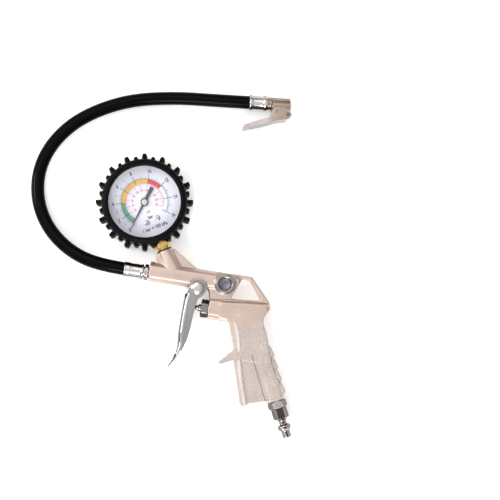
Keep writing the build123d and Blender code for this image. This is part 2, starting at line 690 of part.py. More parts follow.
def sector_gear():
    """A fan of teeth on an arm, with a tail that the link pulls."""
    x, y = polar(SECTOR_REACH, SECTOR_SIDE)
    half_step = 180.0 / SECTOR_TEETH
    facing = SECTOR_SIDE - 180.0 + half_step
    fan = [polar(2.0, facing - 60)] + toothed_arc(SECTOR_TEETH, -7, 0, facing)
    fan += [polar(2.0, facing + 20)]
    gear = layer(fan, 10.5, 11.7)
    tail = [polar(1.6, 215), polar(7.4, 140), polar(7.4, 112), polar(1.6, 35)]
    gear += layer(tail, 10.5, 11.7) + disc(0, 0, 9.0, 12.2, 2.2)
    gear += disc(0, 0, 6.6, 16.1, 0.8)
    return GAUGE * Location((x, y, 0)) * gear


def hairspring():
    """A flat spiral of thin strip round the pinion's arbor."""
    turns, inner, pitch, strip = 4, 1.6, 0.8, 0.11
    count = 24 * turns
    line = [polar(inner + pitch * n / 24 - strip, 15 * n) for n in range(count + 1)]
    back = [polar(inner + pitch * n / 24 + strip, 15 * n) for n in range(count, -1, -1)]
    return GAUGE * layer(line + back, 13.0, 14.0)


def bourdon_tube():
    """The flattened tube that uncurls with pressure."""
    path = CenterArc((0, 0, AXIS_Z), BOURDON_R, -72, 262)
    section = Plane(origin=path @ 0, x_dir=(0, 0, 1), z_dir=path % 0) * Ellipse(4.4, 1.5)
    return GAUGE * sweep(section, path=path)


def link_rod():
    start = polar(BOURDON_R - 1.8, 186)
    end = (-18.4, -5.0)
    way = math.degrees(math.atan2(end[1] - start[1], end[0] - start[0]))
    near = [polar(0.7, way + 90, *start), polar(0.7, way - 90, *start)]
    far = [polar(0.7, way - 90, *end), polar(0.7, way + 90, *end)]
    return GAUGE * (layer(near + far, 12.6, 13.4) + disc(*end, 12.6, 13.4, 1.2))


def needle():
    """A tapering pointer with a broad counterweight behind its hub."""
    blade = [(3, -1.1), (26.7, -0.3), (26.7, 0.3), (3, 1.1)]
    weight = [(-2, -1.5), (-15.0, -1.8), (-15.0, 1.8), (-2, 1.5)]
    shape = layer(blade, NEEDLE_Z, NEEDLE_Z + 0.4) + layer(weight, NEEDLE_Z, NEEDLE_Z + 0.4, 0.6)
    shape += disc(0, 0, NEEDLE_Z - 0.2, NEEDLE_Z + 1.0, 3.5)
    shape -= disc(0, 0, 20, 25, 0.7)
    return GAUGE * Location((0, 0, 0), (0, 0, NEEDLE_REST)) * shape


def needle_cap():
    place = GAUGE * Location((0, 0, NEEDLE_Z + 1.0))
    return turned([(0, 0), (2.7, 0), (2.6, 0.5), (1.8, 0.9), (0, 1.0)], place)


def stop_pin():
    x, y = polar(21.5, NEEDLE_REST + 4.6)
    return GAUGE * disc(x, y, DIAL_Z + DIAL_SHEET, DIAL_Z + DIAL_SHEET + 2.2, 0.5)


# --- Assembly ---------------------------------------------------------------------------------
PARTS = {
    "gun_body": gun_body(),
    "trigger": trigger(),
    "trigger_pin": trigger_pin(),
    "gland_nut": gland_nut(),
    "valve_stem": valve_stem(),
    "valve_seat": valve_seat(),
    "valve_seal": valve_seal(),
    "valve_poppet": valve_poppet(),
    "valve_spring": valve_spring(),
    "deflate_button": deflate_button(),
    "button_ring": button_ring(),
    "button_spring": button_spring(),
    "bleed_pin": bleed_pin(),
    "inlet_collar": inlet_collar(),
    "air_plug": air_plug(),
    "inlet_filter": inlet_filter(),
    "gauge_boot": gauge_boot(),
    "gauge_case": gauge_case(),
    "lens_gasket": ring(31.8, LENS_R, 25.0, 26.6),
    "gauge_lens": gauge_lens(),
    "bezel_ring": ring(BOOT_WINDOW_R - 0.1, LENS_R, 28.6, CASE_TOP_Z),
    "dial_plate": dial_plate(),
    "dial_screws": dial_screws(),
    "gauge_stem": gauge_stem(),
    "gauge_seal_ring": gauge_seal_ring(),
    "movement_back": movement_back(),
    "movement_front": movement_front(),
    "movement_posts": movement_posts(),
    "sector_gear": sector_gear(),
    "pinion": pinion(),
    "hairspring": hairspring(),
    "bourdon_tube": bourdon_tube(),
    "link_rod": link_rod(),
    "needle": needle(),
    "needle_cap": needle_cap(),
    "stop_pin": stop_pin(),
}
CORD_PARTS = {
    "hose": hose(),
    "chuck_tail": chuck_tail(),
    "chuck_ferrule": chuck_ferrule(),
    "chuck_body": chuck_body(),
    "chuck_seal": chuck_seal(),
    "valve_depressor": valve_depressor(),
    "chuck_lever": chuck_lever(),
    "chuck_claw": chuck_claw(),
    "chuck_pin": chuck_pin(),
    "chuck_spring": chuck_spring(),
}
PARTS["hose_tail"] = hose_tail(GUN_FRONT, PORT_R - THREAD_GAP, 9.0, 12.6)
PARTS["hose_ferrule"] = ferrule(GUN_FRONT, NECK_LENGTH)

boxes = [shape.bounding_box() for shape in PARTS.values()]
low_x, high_x = min(b.min.X for b in boxes), max(b.max.X for b in boxes)
low_y, high_y = min(b.min.Y for b in boxes), max(b.max.Y for b in boxes)
low_z = min(b.min.Z for b in boxes)
SHIFT = Location((-(low_x + high_x) / 2, -(low_y + high_y) / 2, -low_z))

os.makedirs("parts", exist_ok=True)
for node, shape in {**PARTS, **CORD_PARTS}.items():
    export_step(SHIFT * shape, f"parts/{node}.step")
print("shift", SHIFT.position)
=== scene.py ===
import json
import math

import bmesh
import bpy
from mathutils import Matrix, Vector


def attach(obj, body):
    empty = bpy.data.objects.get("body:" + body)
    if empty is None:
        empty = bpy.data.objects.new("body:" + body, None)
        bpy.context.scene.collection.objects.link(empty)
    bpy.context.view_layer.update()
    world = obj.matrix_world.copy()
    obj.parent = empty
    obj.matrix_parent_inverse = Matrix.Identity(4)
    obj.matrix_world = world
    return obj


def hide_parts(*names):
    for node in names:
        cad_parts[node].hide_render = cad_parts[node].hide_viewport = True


# Looks of a hand-held tyre inflator: a cast nickel gun, a dial gauge in a lugged rubber boot, and a
# short hose with a clip-on chuck. The row frame is in metres. Places are given in the CAD source's
# working frame, in millimetres: the barrel's front face is at x = 0 and its axis runs along +X.

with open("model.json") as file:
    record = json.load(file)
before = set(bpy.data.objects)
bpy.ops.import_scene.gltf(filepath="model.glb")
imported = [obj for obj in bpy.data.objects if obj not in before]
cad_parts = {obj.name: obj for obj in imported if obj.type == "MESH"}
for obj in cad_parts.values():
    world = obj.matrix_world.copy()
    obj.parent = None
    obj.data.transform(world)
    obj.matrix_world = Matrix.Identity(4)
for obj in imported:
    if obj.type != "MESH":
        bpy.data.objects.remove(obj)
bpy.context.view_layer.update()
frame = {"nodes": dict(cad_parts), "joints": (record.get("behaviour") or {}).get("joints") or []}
NODES = frame["nodes"]

MM = 0.001
AXIS_Z = 14.0             # height of the gun's middle plane
PIVOT = (44.5, -8.3)      # the trigger's pivot, whose place in the row frame is read from the joint
HINGE = next(j for j in frame["joints"] if j["name"] == "trigger_hinge")
ORIGIN = Vector(HINGE["pos_m"]) - Vector((0.0445, -0.0083, 0.014))
TINY = 1e-6               # shorter than anything that is drawn


# --- Places -----------------------------------------------------------------------------------
def at(x, y, z=AXIS_Z):
    """A point of the working frame in millimetres, as a point of the row frame in metres."""
    return ORIGIN + Vector((x, y, z)) * MM


def upright(x, y, z=0.0, turn=0.0):
    """A place in millimetres whose Z points up."""
    spin = Matrix.Rotation(math.radians(turn), 4, "Z")
    return Matrix.Translation(at(x, y, z)) @ spin @ Matrix.Scale(MM, 4)


def lying(x, y, degrees, z=AXIS_Z):
    """A place in millimetres whose Z points along a direction in the XY plane, its X upwards."""
    turn = math.radians(degrees)
    way = Vector((math.cos(turn), math.sin(turn), 0))
    up = Vector((0, 0, 1))
    axes = Matrix((up, way.cross(up), way)).transposed().to_4x4()
    return Matrix.Translation(at(x, y, z)) @ axes @ Matrix.Scale(MM, 4)


GAUGE_X, GAUGE_Y, GAUGE_TILT = -13.7, 59.6, 31.5
CHUCK_X, CHUCK_Y, CHUCK_Z, CHUCK_TILT = 65.0, 165.0, 9.4, 5.947
NEEDLE_REST = 220.5       # degrees on the dial, where it reads nothing
LEVER_U, LEVER_V = 24.0, -8.0       # the lever's pivot, along and across the chuck
BUTTON_X, BUTTON_Y = 68.0, -1.2

GUN_FRONT = lying(0, -1.2, 180)
VALVE_LINE = lying(56.5, -25.3, 0)
INLET_LINE = lying(129.0, -96.7, -64)
STEM_LINE = lying(GAUGE_X, GAUGE_Y, GAUGE_TILT - 90)
GAUGE = upright(GAUGE_X, GAUGE_Y, 0, GAUGE_TILT)
CHUCK_LINE = lying(CHUCK_X, CHUCK_Y, CHUCK_TILT, CHUCK_Z)
CHUCK = upright(CHUCK_X, CHUCK_Y, 0, CHUCK_TILT)


# --- Camera -----------------------------------------------------------------------------------
VIEW_DISTANCE, VIEW_HALF = 1100.0, 223.75     # from the camera to its target, and half the view there
VIEW_SLOPE = 8.7                              # degrees that the barrel slopes in the picture
VIEW_LEAN = (-0.055, -0.07, 1.0)              # the way from the target to the camera


def shown(name, data):
    """A new object in the scene."""
    thing = bpy.data.objects.new(name, data)
    bpy.context.scene.collection.objects.link(thing)
    return thing


def aim(thing, position, target, up=Vector((0, 0, 1))):
    """Places an object so that it looks along its -Z at a target, its Y as near to up as it can be."""
    back = (position - target).normalized()
    right = up.cross(back).normalized()
    turn = Matrix((right, back.cross(right), back)).transposed()
    thing.matrix_world = Matrix.Translation(position) @ turn.to_4x4()


def camera():
    """Almost straight above the tool, turned a little so that the barrel slopes."""
    lens = bpy.data.cameras.new("camera")
    lens.sensor_width = 36.0
    lens.lens = lens.sensor_width / 2 * VIEW_DISTANCE / VIEW_HALF
    eye = shown("camera", lens)
    target = at(85.6, 32.6)
    slope = math.radians(VIEW_SLOPE)
    up = Vector((-math.sin(slope), math.cos(slope), 0))
    aim(eye, target + Vector(VIEW_LEAN).normalized() * (VIEW_DISTANCE * MM), target, up)
    bpy.context.scene.camera = eye


# --- Meshes -----------------------------------------------------------------------------------
def rounded(points, radius, steps=4):
    """A closed outline with its corners rounded. A bend of few degrees is left as it is."""
    nearly_straight = 2.9     # radians between the two sides of a bend that is left as it is
    out = []
    count = len(points)
    for n in range(count):
        here = Vector(points[n])
        before, after = Vector(points[n - 1]) - here, Vector(points[(n + 1) % count]) - here
        room = min(radius, 0.45 * before.length, 0.45 * after.length)
        if room < TINY or abs(here.x) < TINY or before.angle(after) > nearly_straight:
            out.append(tuple(here))
            continue
        first, last = here + before.normalized() * room, here + after.normalized() * room
        for step in range(steps + 1):
            t = step / steps
            point = first * (1 - t) ** 2 + here * 2 * t * (1 - t) + last * t**2
            out.append(tuple(point))
    return out


def spun(columns, place):
    """A closed skin through columns of (radius, height) spread evenly round the Z of place."""
    verts, faces = [], []
    count = len(columns[0])
    for turn, column in enumerate(columns):
        angle = 2 * math.pi * turn / len(columns)
        for r, h in column:
            verts.append(place @ Vector((r * math.cos(angle), r * math.sin(angle), h)))
        ring, following = turn * count, (turn + 1) % len(columns) * count
        for n in range(count):
            m = (n + 1) % count
            if column[n][0] > TINY or column[m][0] > TINY:
                faces.append((ring + n, following + n, following + m, ring + m))
    return verts, faces


def lathe(profile, place, radius=0.25, segments=96):
    """A turned part: (radius, height) pairs spun about the Z of place, its corners rounded."""
    return spun([rounded(profile, radius)] * segments, place)


def hexagon(across, low, high, place, bore=0.0, segments=144):
    """A hexagonal nut, its corners eased and both ends turned to a cone."""
    half = across / 2
    cut = 0.11 * half
    heights = [low, low + 0.15, low + cut * 0.5, low + cut, low + cut * 1.7]
    heights += [high - cut * 1.7, high - cut, high - cut * 0.5, high - 0.15, high]
    columns = []
    for turn in range(segments):
        angle = 2 * math.pi * turn / segments
        off_flat = (angle + math.pi / 6) % (math.pi / 3) - math.pi / 6
        prism = min(half / math.cos(off_flat), half * 1.135)
        column = [(bore, low)]
        for h in heights:
            cone = half * 0.96 + min(h - low, high - h) * 1.75 + 0.12
            edge = 0.12 if h in (low, high) else 0.0
            column.append((min(prism, cone) - edge, h))
        column.append((bore, high))
        columns.append(column)
    return spun(columns, place)


def plate(outline, low, high, place):
    """A flat part: an outline in the XY of place, between two heights."""
    count = len(outline)
    verts = [place @ Vector((x, y, h)) for h in (low, high) for x, y in outline]
    faces = [tuple(range(count - 1, -1, -1)), tuple(range(count, 2 * count))]
    for n in range(count):
        m = (n + 1) % count
        faces.append((n, m, count + m, count + n))
    return verts, faces


def tube(points, radius, place, sides=16):
    """A round wire through points in the local frame of place."""
    verts, faces = [], []
    line = [Vector(p) for p in points]
    normal = (line[1] - line[0]).orthogonal().normalized()
    for n, point in enumerate(line):
        way = (line[min(n + 1, len(line) - 1)] - line[max(n - 1, 0)]).normalized()
        normal = (normal - way * normal.dot(way)).normalized()
        across = way.cross(normal)
        for side in range(sides):
            angle = 2 * math.pi * side / sides
            offset = normal * math.cos(angle) + across * math.sin(angle)
            verts.append(place @ (point + offset * radius))
    for n in range(len(line) - 1):
        for side in range(sides):
            other = (side + 1) % sides
            a, b = n * sides, (n + 1) * sides
            faces.append((a + side, a + other, b + other, b + side))
    faces.append(tuple(range(sides - 1, -1, -1)))
    faces.append(tuple(range((len(line) - 1) * sides, len(line) * sides)))
    return verts, faces


def joined(*shapes):
    """Several (vertices, faces) as one."""
    verts, faces = [], []
    for more_verts, more_faces in shapes:
        start = len(verts)
        verts += more_verts
        faces += [tuple(start + n for n in face) for face in more_faces]
    return verts, faces


def piece(name, shape, finish, body, replaced=(), sharp=32.0, bevel=0.0):
    """A new mesh object of the tool, riding on a CAD body and standing for some of its nodes."""
    mesh = bpy.data.meshes.new(name)
    mesh.from_pydata(shape[0], [], shape[1])
    tidy = bmesh.new()
    tidy.from_mesh(mesh)
    bmesh.ops.remove_doubles(tidy, verts=tidy.verts, dist=1e-7)
    bmesh.ops.dissolve_degenerate(tidy, edges=tidy.edges, dist=1e-8)
    bmesh.ops.recalc_face_normals(tidy, faces=tidy.faces)
    tidy.to_mesh(mesh)
    tidy.free()
    thing = shown(name, mesh)
    if bevel:
        soften(thing, bevel)
    return settle(thing, finish, body, replaced, sharp)


def settle(thing, finish, body, replaced, sharp):
    """Shading, finish and place in the frame of an object made here."""
    thing.data.shade_smooth()
    thing.data.set_sharp_from_angle(angle=math.radians(sharp))
    thing.data.materials.clear()
    thing.data.materials.append(FINISHES[finish])
    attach(thing, body)
    if replaced:
        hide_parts(*replaced)
    return thing


def soften(thing, width):
    """Rounds an object's edges."""
    bevel = thing.modifiers.new("edges", "BEVEL")
    bevel.width = width * MM
    bevel.segments = 3
    bevel.limit_method = "ANGLE"
    bevel.angle_limit = math.radians(35)
    bevel.harden_normals = True


def grown(mesh, shape):
    """Adds a shape to a mesh, to be melted into it."""
    more = bpy.data.meshes.new("more")
    more.from_pydata(shape[0], [], shape[1])
    both = bmesh.new()
    both.from_mesh(mesh)
    both.from_mesh(more)
    both.to_mesh(mesh)
    both.free()


def cast_copy(name, node, finish, body, voxel, passes, extra=None, shaping=None):
    """A copy of a CAD node with its hard edges melted, as in a casting or moulding."""
    rough = NODES[node].data.copy()
    if extra:
        grown(rough, extra)
    source = shown(name + "_source", rough)
    remesh = source.modifiers.new("skin", "REMESH")
    remesh.mode = "VOXEL"
    remesh.voxel_size = voxel * MM
    smooth = source.modifiers.new("melt", "SMOOTH")
    smooth.factor = 0.5
    smooth.iterations = passes
    shaped = source.evaluated_get(bpy.context.evaluated_depsgraph_get())
    mesh = bpy.data.meshes.new_from_object(shaped)
    bpy.data.objects.remove(source)
    if shaping:
        shaping(mesh)
    mesh.name = name
    thing = shown(name, mesh)
    return settle(thing, finish, body, (node,), 75.0)


# --- Finishes ---------------------------------------------------------------------------------
def add(tree, kind, inputs=(), **settings):
    """A shader node. inputs are (name or number, value or socket) pairs."""
    made = tree.nodes.new(kind)
    for key, value in settings.items():
        setattr(made, key, value)
    for key, value in inputs:
        if isinstance(value, bpy.types.NodeSocket):
            tree.links.new(value, made.inputs[key])
        else:
            made.inputs[key].default_value = value
    return made


def colour(r, g, b):
    return (r, g, b, 1.0)


def mapped(tree, value, low, high, start=0.0, end=1.0):
    """A value's way from low to high, as a way from start to end."""
    inputs = [(0, value), (1, low), (2, high), (3, start), (4, end)]
    return add(tree, "ShaderNodeMapRange", inputs).outputs[0]


def mixed(tree, share, first, second, blend_type="MIX"):
    """Two tints, mixed or multiplied."""
    inputs = [(0, share), (1, first), (2, second)]
    return add(tree, "ShaderNodeMixRGB", inputs, blend_type=blend_type).outputs[0]


def calculated(tree, operation, *values):
    """One operation on one or two numbers."""
    return add(tree, "ShaderNodeMath", list(enumerate(values)), operation=operation).outputs[0]


def surface(
    name, light, dark, metal, rough, patch=70.0, grain=900.0, bump=0.15, stretch=(1, 1, 1),
    wear_and_sheen=None, gloss=0.5, stipple=None, side_shade=None, bent=(0.55, 0.75), crown=None, painted_lines=(),
    end_shade=None,
):
    """A finish with blotches of tint, uneven roughness, fine grain, painted shade in creases and paler
    edges that are partly wear and partly painted highlight.

    flank paints shade on the sides that don't face up, over a span of slopes called bent, and crown
    paints shade on the very top. seams are painted lines, some of shade and some of highlight, from
    point to point, and fade paints shade over the part beyond a line."""
    material = bpy.data.materials.new(name)
    material.use_nodes = True
    tree = material.node_tree
    shader = tree.nodes["Principled BSDF"]
    place = add(tree, "ShaderNodeTexCoord").outputs["Object"]
    drawn = add(tree, "ShaderNodeMapping", [("Vector", place), ("Scale", stretch)]).outputs[0]
    cloud = add(tree, "ShaderNodeTexNoise", [("Vector", drawn), ("Scale", patch), ("Detail", 5.0)])
    fine = add(tree, "ShaderNodeTexNoise", [("Vector", drawn), ("Scale", grain), ("Detail", 3.0)])
    tint = mixed(tree, mapped(tree, cloud.outputs[0], 0.32, 0.68), dark, light)
    relief = add(tree, "ShaderNodeNewGeometry").outputs["Pointiness"]
    # Painted shade in creases: the hollow places are darkened.
    tint = darkened(tree, tint, relief, (0.36, 0.49), (0.45, 1.0))
    # Paler convex edges, partly wear and partly painted highlight.
    if wear_and_sheen:
        tint = mixed(tree, mapped(tree, relief, 0.515, 0.58, 0.0, 0.75), tint, wear_and_sheen)
    normal = add(tree, "ShaderNodeNewGeometry").outputs["Normal"]
    facing = add(tree, "ShaderNodeSeparateXYZ", [(0, normal)]).outputs["Z"]
    # Painted shade on the sides that don't face up.
    if side_shade:
        tint = darkened(tree, tint, facing, bent, (side_shade, 1.0))
    # Painted shade on the very top, standing for a dark reflection there.
    if crown:
        tint = darkened(tree, tint, facing, (0.93, 0.99), (1.0, crown))
    # Painted lines, some of shade and some of highlight.
    for stroke in painted_lines:
        tint = seamed(tree, tint, place, *stroke)
    # Painted shade over the part beyond a line.
    if end_shade:
        start, way, shade = end_shade
        tint = mixed(tree, beyond(tree, place, start, way, 0.012), tint, shade)
    shine = mapped(tree, cloud.outputs[0], 0.3, 0.7, *rough)
    height = fine.outputs[0]
    if stipple:
        height, tint = stippled(tree, place, height, tint, *stipple)
    grained = add(
        tree, "ShaderNodeBump", [("Height", height), ("Strength", bump), ("Distance", 0.0002)]
    )
    tree.links.new(tint, shader.inputs["Base Color"])
    tree.links.new(shine, shader.inputs["Roughness"])
    tree.links.new(grained.outputs[0], shader.inputs["Normal"])
    shader.inputs["Metallic"].default_value = metal
    shader.inputs["Specular IOR Level"].default_value = gloss
    return material


def darkened(tree, tint, value, span, levels):
    """Multiplies a tint by a level that goes from one to another over a span of a value."""
    return mixed(tree, 1.0, tint, mapped(tree, value, *span, *levels), "MULTIPLY")


def along(tree, place, start, way):
    """How far a place lies from a point, measured in one direction."""
    ends = [(0, place), (1, start)]
    offset = add(tree, "ShaderNodeVectorMath", ends, operation="SUBTRACT").outputs[0]
    sides = [(0, offset), (1, way)]
    return add(tree, "ShaderNodeVectorMath", sides, operation="DOT_PRODUCT").outputs["Value"]


def beyond(tree, place, start, way, width):
    """0 before a line across the part and 1 behind it, over a width."""
    return mapped(tree, along(tree, place, start, way), 0.0, width)


def seamed(tree, tint, place, start, end, half, shade):
    """A thin painted line of a given shade or highlight, from point to point, seen from above and
    below.
    """
    way = (end - start).normalized()
    half_length = (end - start).length / 2
    fade_out = 0.001
    across = way.cross(Vector((0, 0, 1)))
    aside = calculated(tree, "ABSOLUTE", along(tree, place, start, across))
    from_middle = calculated(tree, "ABSOLUTE", along(tree, place, (start + end) / 2, way))
    within = mapped(tree, from_middle, half_length, half_length + fade_out, 1.0, 0.0)
    line = mapped(tree, aside, half * 0.5, half * 1.5, 0.6, 0.0)
    return mixed(tree, calculated(tree, "MULTIPLY", line, within), tint, shade)


def stippled(tree, place, height, tint, depth, start, way, blush):
    """Adds small round dimples beyond a line across the part. The part before it has a blush."""
    pattern = [("Vector", place), ("Scale", 850.0)]
    cells = add(tree, "ShaderNodeTexVoronoi", pattern).outputs["Distance"]
    mask = beyond(tree, place, start, way, 0.006)
    deep = calculated(tree, "MULTIPLY", calculated(tree, "MULTIPLY", cells, mask), depth)
    height = calculated(tree, "ADD", height, deep)
    blushed = mixed(tree, 1.0, tint, blush, "MULTIPLY")
    pitted = darkened(tree, tint, cells, (0.05, 0.55), (1.17, 0.91))
    return height, mixed(tree, mask, blushed, pitted)


def glass(name):
    """Clear glass: see-through, with a reflection that grows towards the rim."""
    material = bpy.data.materials.new(name)
    material.use_nodes = True
    tree = material.node_tree
    tree.nodes.clear()
    place = add(tree, "ShaderNodeTexCoord").outputs["Object"]
    smears = add(tree, "ShaderNodeTexNoise", [("Vector", place), ("Scale", 45.0), ("Detail", 4.0)])
    shine = mapped(tree, smears.outputs[0], 0.0, 1.0, 0.02, 0.09)
    clear = add(tree, "ShaderNodeBsdfTransparent", [("Color", colour(0.99, 0.99, 1.0))])
    mirror = add(tree, "ShaderNodeBsdfGlossy", [("Roughness", shine)])
    slant = add(tree, "ShaderNodeLayerWeight", [("Blend", 0.5)]).outputs["Facing"]
    share = mapped(tree, calculated(tree, "POWER", slant, 4.0), 0.0, 1.0, 0.03, 0.6)
    parts = [(0, share), (1, clear.outputs[0]), (2, mirror.outputs[0])]
    both = add(tree, "ShaderNodeMixShader", parts)
    add(tree, "ShaderNodeOutputMaterial", [("Surface", both.outputs[0])])
    return material


def ink(name, shade):
    """Printing ink on the dial, a little uneven."""
    pale = tuple(min(1.0, c * 1.1 + 0.01) for c in shade)
    return surface(name, colour(*pale), colour(*shade), 0.0, (0.5, 0.6), patch=400.0, bump=0.02)


GRIP_WAY = Vector((0.438, -0.899, 0.0))       # down the grip, to its foot
CHUCK_WAY = Vector((math.cos(math.radians(CHUCK_TILT)), math.sin(math.radians(CHUCK_TILT)), 0.0))
# Colours of the painted lines: painted shade and painted highlight.
PAINTED_SHADE, PAINTED_HIGHLIGHT = colour(0.10, 0.06, 0.04), colour(1.0, 0.95, 0.92)

# Painted lines: start, end, half width in metres and shade. The dark ones are painted shade along
# the grip's tube and the chamber's ledge, and the pale ones a painted highlight on the grip's front
# bead.
CAST_PAINTED_LINES = [
    (at(100.8, -59.7), at(119.0, -98.6), 0.0004, PAINTED_SHADE),
    (at(56.6, -16.6), at(77.6, -13.9), 0.0004, PAINTED_SHADE),
    (at(77.6, -13.9), at(107.5, -12.7), 0.0004, PAINTED_SHADE),
    (at(81.6, -34.0), at(85.2, -42.0), 0.0011, PAINTED_HIGHLIGHT),
    (at(85.2, -42.0), at(89.2, -57.5), 0.0011, PAINTED_HIGHLIGHT),
    (at(90.2, -66.5), at(93.2, -79.3), 0.0011, PAINTED_HIGHLIGHT),
    (at(93.2, -79.3), at(101.4, -104.6), 0.0011, PAINTED_HIGHLIGHT),
]
# Where a finish has flank or crown, shade is painted on its sides or top; its paler edges are partly
# wear and partly painted highlight.
FINISHES = {
    # The casting's lines are painted shade and painted highlight.
    "die_cast": surface(
        "die_cast", colour(0.69, 0.595, 0.545), colour(0.62, 0.525, 0.475), 0.85, (0.40, 0.50),
        patch=45.0, grain=1300.0, bump=0.14, wear_and_sheen=colour(0.84, 0.77, 0.73),
        stipple=(7.0, at(88, -34), GRIP_WAY, colour(0.98, 0.90, 0.86)), painted_lines=CAST_PAINTED_LINES,
    ),
    # Painted shade on the trigger's sloping sides and fold, leaving a narrow lit line.
    "trigger_steel": surface(
        "trigger_steel", colour(0.48, 0.465, 0.465), colour(0.37, 0.355, 0.355), 1.0, (0.18, 0.26),
        patch=30.0, grain=700.0, bump=0.05, stretch=(3.0, 0.35, 1.0), wear_and_sheen=colour(0.80, 0.79, 0.79),
        side_shade=0.42, bent=(0.84, 0.92),
    ),
    "rivet_steel": surface(
        "rivet_steel", colour(0.70, 0.67, 0.66), colour(0.60, 0.57, 0.56), 1.0, (0.26, 0.34), bump=0.04,
    ),
    # The ring's sloping sides are painted dark, standing for the shadow in the gap round it.
    "ring_steel": surface(
        "ring_steel", colour(0.42, 0.39, 0.38), colour(0.32, 0.30, 0.29), 1.0, (0.22, 0.34),
        patch=160.0, bump=0.05, wear_and_sheen=colour(0.62, 0.59, 0.57), side_shade=0.12,
    ),
    # The plug's top is painted darker, standing for a dark reflection there.
    "plug_nickel": surface(
        "plug_nickel", colour(0.70, 0.63, 0.60), colour(0.58, 0.51, 0.48), 1.0, (0.14, 0.26),
        patch=140.0, bump=0.05, wear_and_sheen=colour(0.90, 0.86, 0.84), side_shade=0.2, crown=0.12,
    ),
    "collar_nickel": surface(
        "collar_nickel", colour(0.62, 0.55, 0.52), colour(0.44, 0.38, 0.36), 1.0, (0.28, 0.42),
        patch=420.0, grain=1800.0, bump=0.35, wear_and_sheen=colour(0.84, 0.79, 0.77), side_shade=0.3,
    ),
    # The lever's head end is painted a browner shade, standing for a darker reflection there.
    "lever_nickel": surface(
        "lever_nickel", colour(0.68, 0.61, 0.585), colour(0.58, 0.51, 0.48), 1.0, (0.20, 0.32),
        patch=140.0, bump=0.06, wear_and_sheen=colour(0.88, 0.83, 0.80), side_shade=0.4,
        end_shade=(CHUCK @ Vector((16, -12, 14)), CHUCK_WAY, colour(0.46, 0.345, 0.29)),
    ),
    "claw_steel": surface(
        "claw_steel", colour(0.13, 0.12, 0.12), colour(0.07, 0.065, 0.065), 1.0, (0.24, 0.38),
        bump=0.08, wear_and_sheen=colour(0.5, 0.48, 0.47),
    ),
    "dark_steel": surface(
        "dark_steel", colour(0.40, 0.38, 0.37), colour(0.24, 0.23, 0.22), 1.0, (0.24, 0.38),
        bump=0.08, wear_and_sheen=colour(0.55, 0.53, 0.52), side_shade=0.12,
    ),
    "brass": surface(
        "brass", colour(0.80, 0.56, 0.22), colour(0.66, 0.43, 0.14), 1.0, (0.20, 0.32),
        patch=120.0, grain=1500.0, bump=0.07, wear_and_sheen=colour(0.90, 0.70, 0.38),
    ),
    "bronze": surface(
        "bronze", colour(0.60, 0.38, 0.20), colour(0.48, 0.29, 0.14), 1.0, (0.28, 0.4), bump=0.08,
    ),
    "bronze_mesh": surface(
        "bronze_mesh", colour(0.52, 0.34, 0.18), colour(0.34, 0.21, 0.10), 1.0, (0.4, 0.6),
        grain=4000.0, bump=0.6,
    ),
    "black_rubber": surface(
        "black_rubber", colour(0.012, 0.011, 0.011), colour(0.006, 0.006, 0.006), 0.0, (0.45, 0.6),
        bump=0.12, gloss=0.2,
    ),
    "boot_rubber": surface(
        "boot_rubber", colour(0.006, 0.005, 0.005), colour(0.003, 0.003, 0.003), 0.0, (0.42, 0.60),
        patch=90.0, grain=1700.0, bump=0.14, wear_and_sheen=colour(0.030, 0.026, 0.025), gloss=0.06,
    ),
    "hose_rubber": surface(
        "hose_rubber", colour(0.003, 0.003, 0.003), colour(0.0015, 0.0015, 0.0015), 0.0, (0.16, 0.24),
        patch=60.0, grain=500.0, bump=0.04, gloss=0.05,
    ),
    "spring_steel": surface(
        "spring_steel", colour(0.62, 0.61, 0.60), colour(0.46, 0.45, 0.44), 1.0, (0.2, 0.3), bump=0.05,
    ),
    "button_metal": surface(
        "button_metal", colour(0.24, 0.235, 0.265), colour(0.17, 0.165, 0.195), 1.0, (0.26, 0.38),
        patch=200.0, bump=0.05, wear_and_sheen=colour(0.5, 0.5, 0.54),
    ),
    "nickel": surface(
        "nickel", colour(0.70, 0.64, 0.61), colour(0.58, 0.52, 0.49), 1.0, (0.16, 0.28),
        patch=140.0, bump=0.05, wear_and_sheen=colour(0.86, 0.82, 0.79), side_shade=0.35,
    ),
    "chrome": surface(
        "chrome", colour(0.78, 0.74, 0.71), colour(0.68, 0.63, 0.60), 1.0, (0.07, 0.15),
        patch=110.0, bump=0.03, wear_and_sheen=colour(0.90, 0.88, 0.87), side_shade=0.22,
    ),
    "chuck_nickel": surface(
        "chuck_nickel", colour(0.46, 0.35, 0.30), colour(0.36, 0.27, 0.22), 1.0, (0.26, 0.38),
        patch=90.0, grain=1400.0, bump=0.08, wear_and_sheen=colour(0.66, 0.56, 0.50), side_shade=0.4,
    ),
    "case_steel": surface(
        "case_steel", colour(0.30, 0.30, 0.30), colour(0.20, 0.20, 0.20), 1.0, (0.35, 0.5), bump=0.06,
    ),
    "bezel_black": surface(
        "bezel_black", colour(0.020, 0.020, 0.021), colour(0.012, 0.012, 0.012), 0.0, (0.35, 0.45),
        bump=0.05, gloss=0.3,
    ),
    "lens": glass("lens"),
    "dial_white": surface(
        "dial_white", colour(0.93, 0.935, 1.0), colour(0.90, 0.905, 0.99), 0.0, (0.45, 0.55),
        patch=40.0, bump=0.02, gloss=0.3,
    ),
    "needle_grey": surface(
        "needle_grey", colour(0.045, 0.045, 0.052), colour(0.025, 0.025, 0.03), 0.0, (0.35, 0.5),
        patch=200.0, bump=0.04, wear_and_sheen=colour(0.16, 0.16, 0.18),
    ),
    "cap_beige": surface(
        "cap_beige", colour(0.80, 0.72, 0.66), colour(0.66, 0.58, 0.52), 0.5, (0.3, 0.4), bump=0.05,
    ),
}

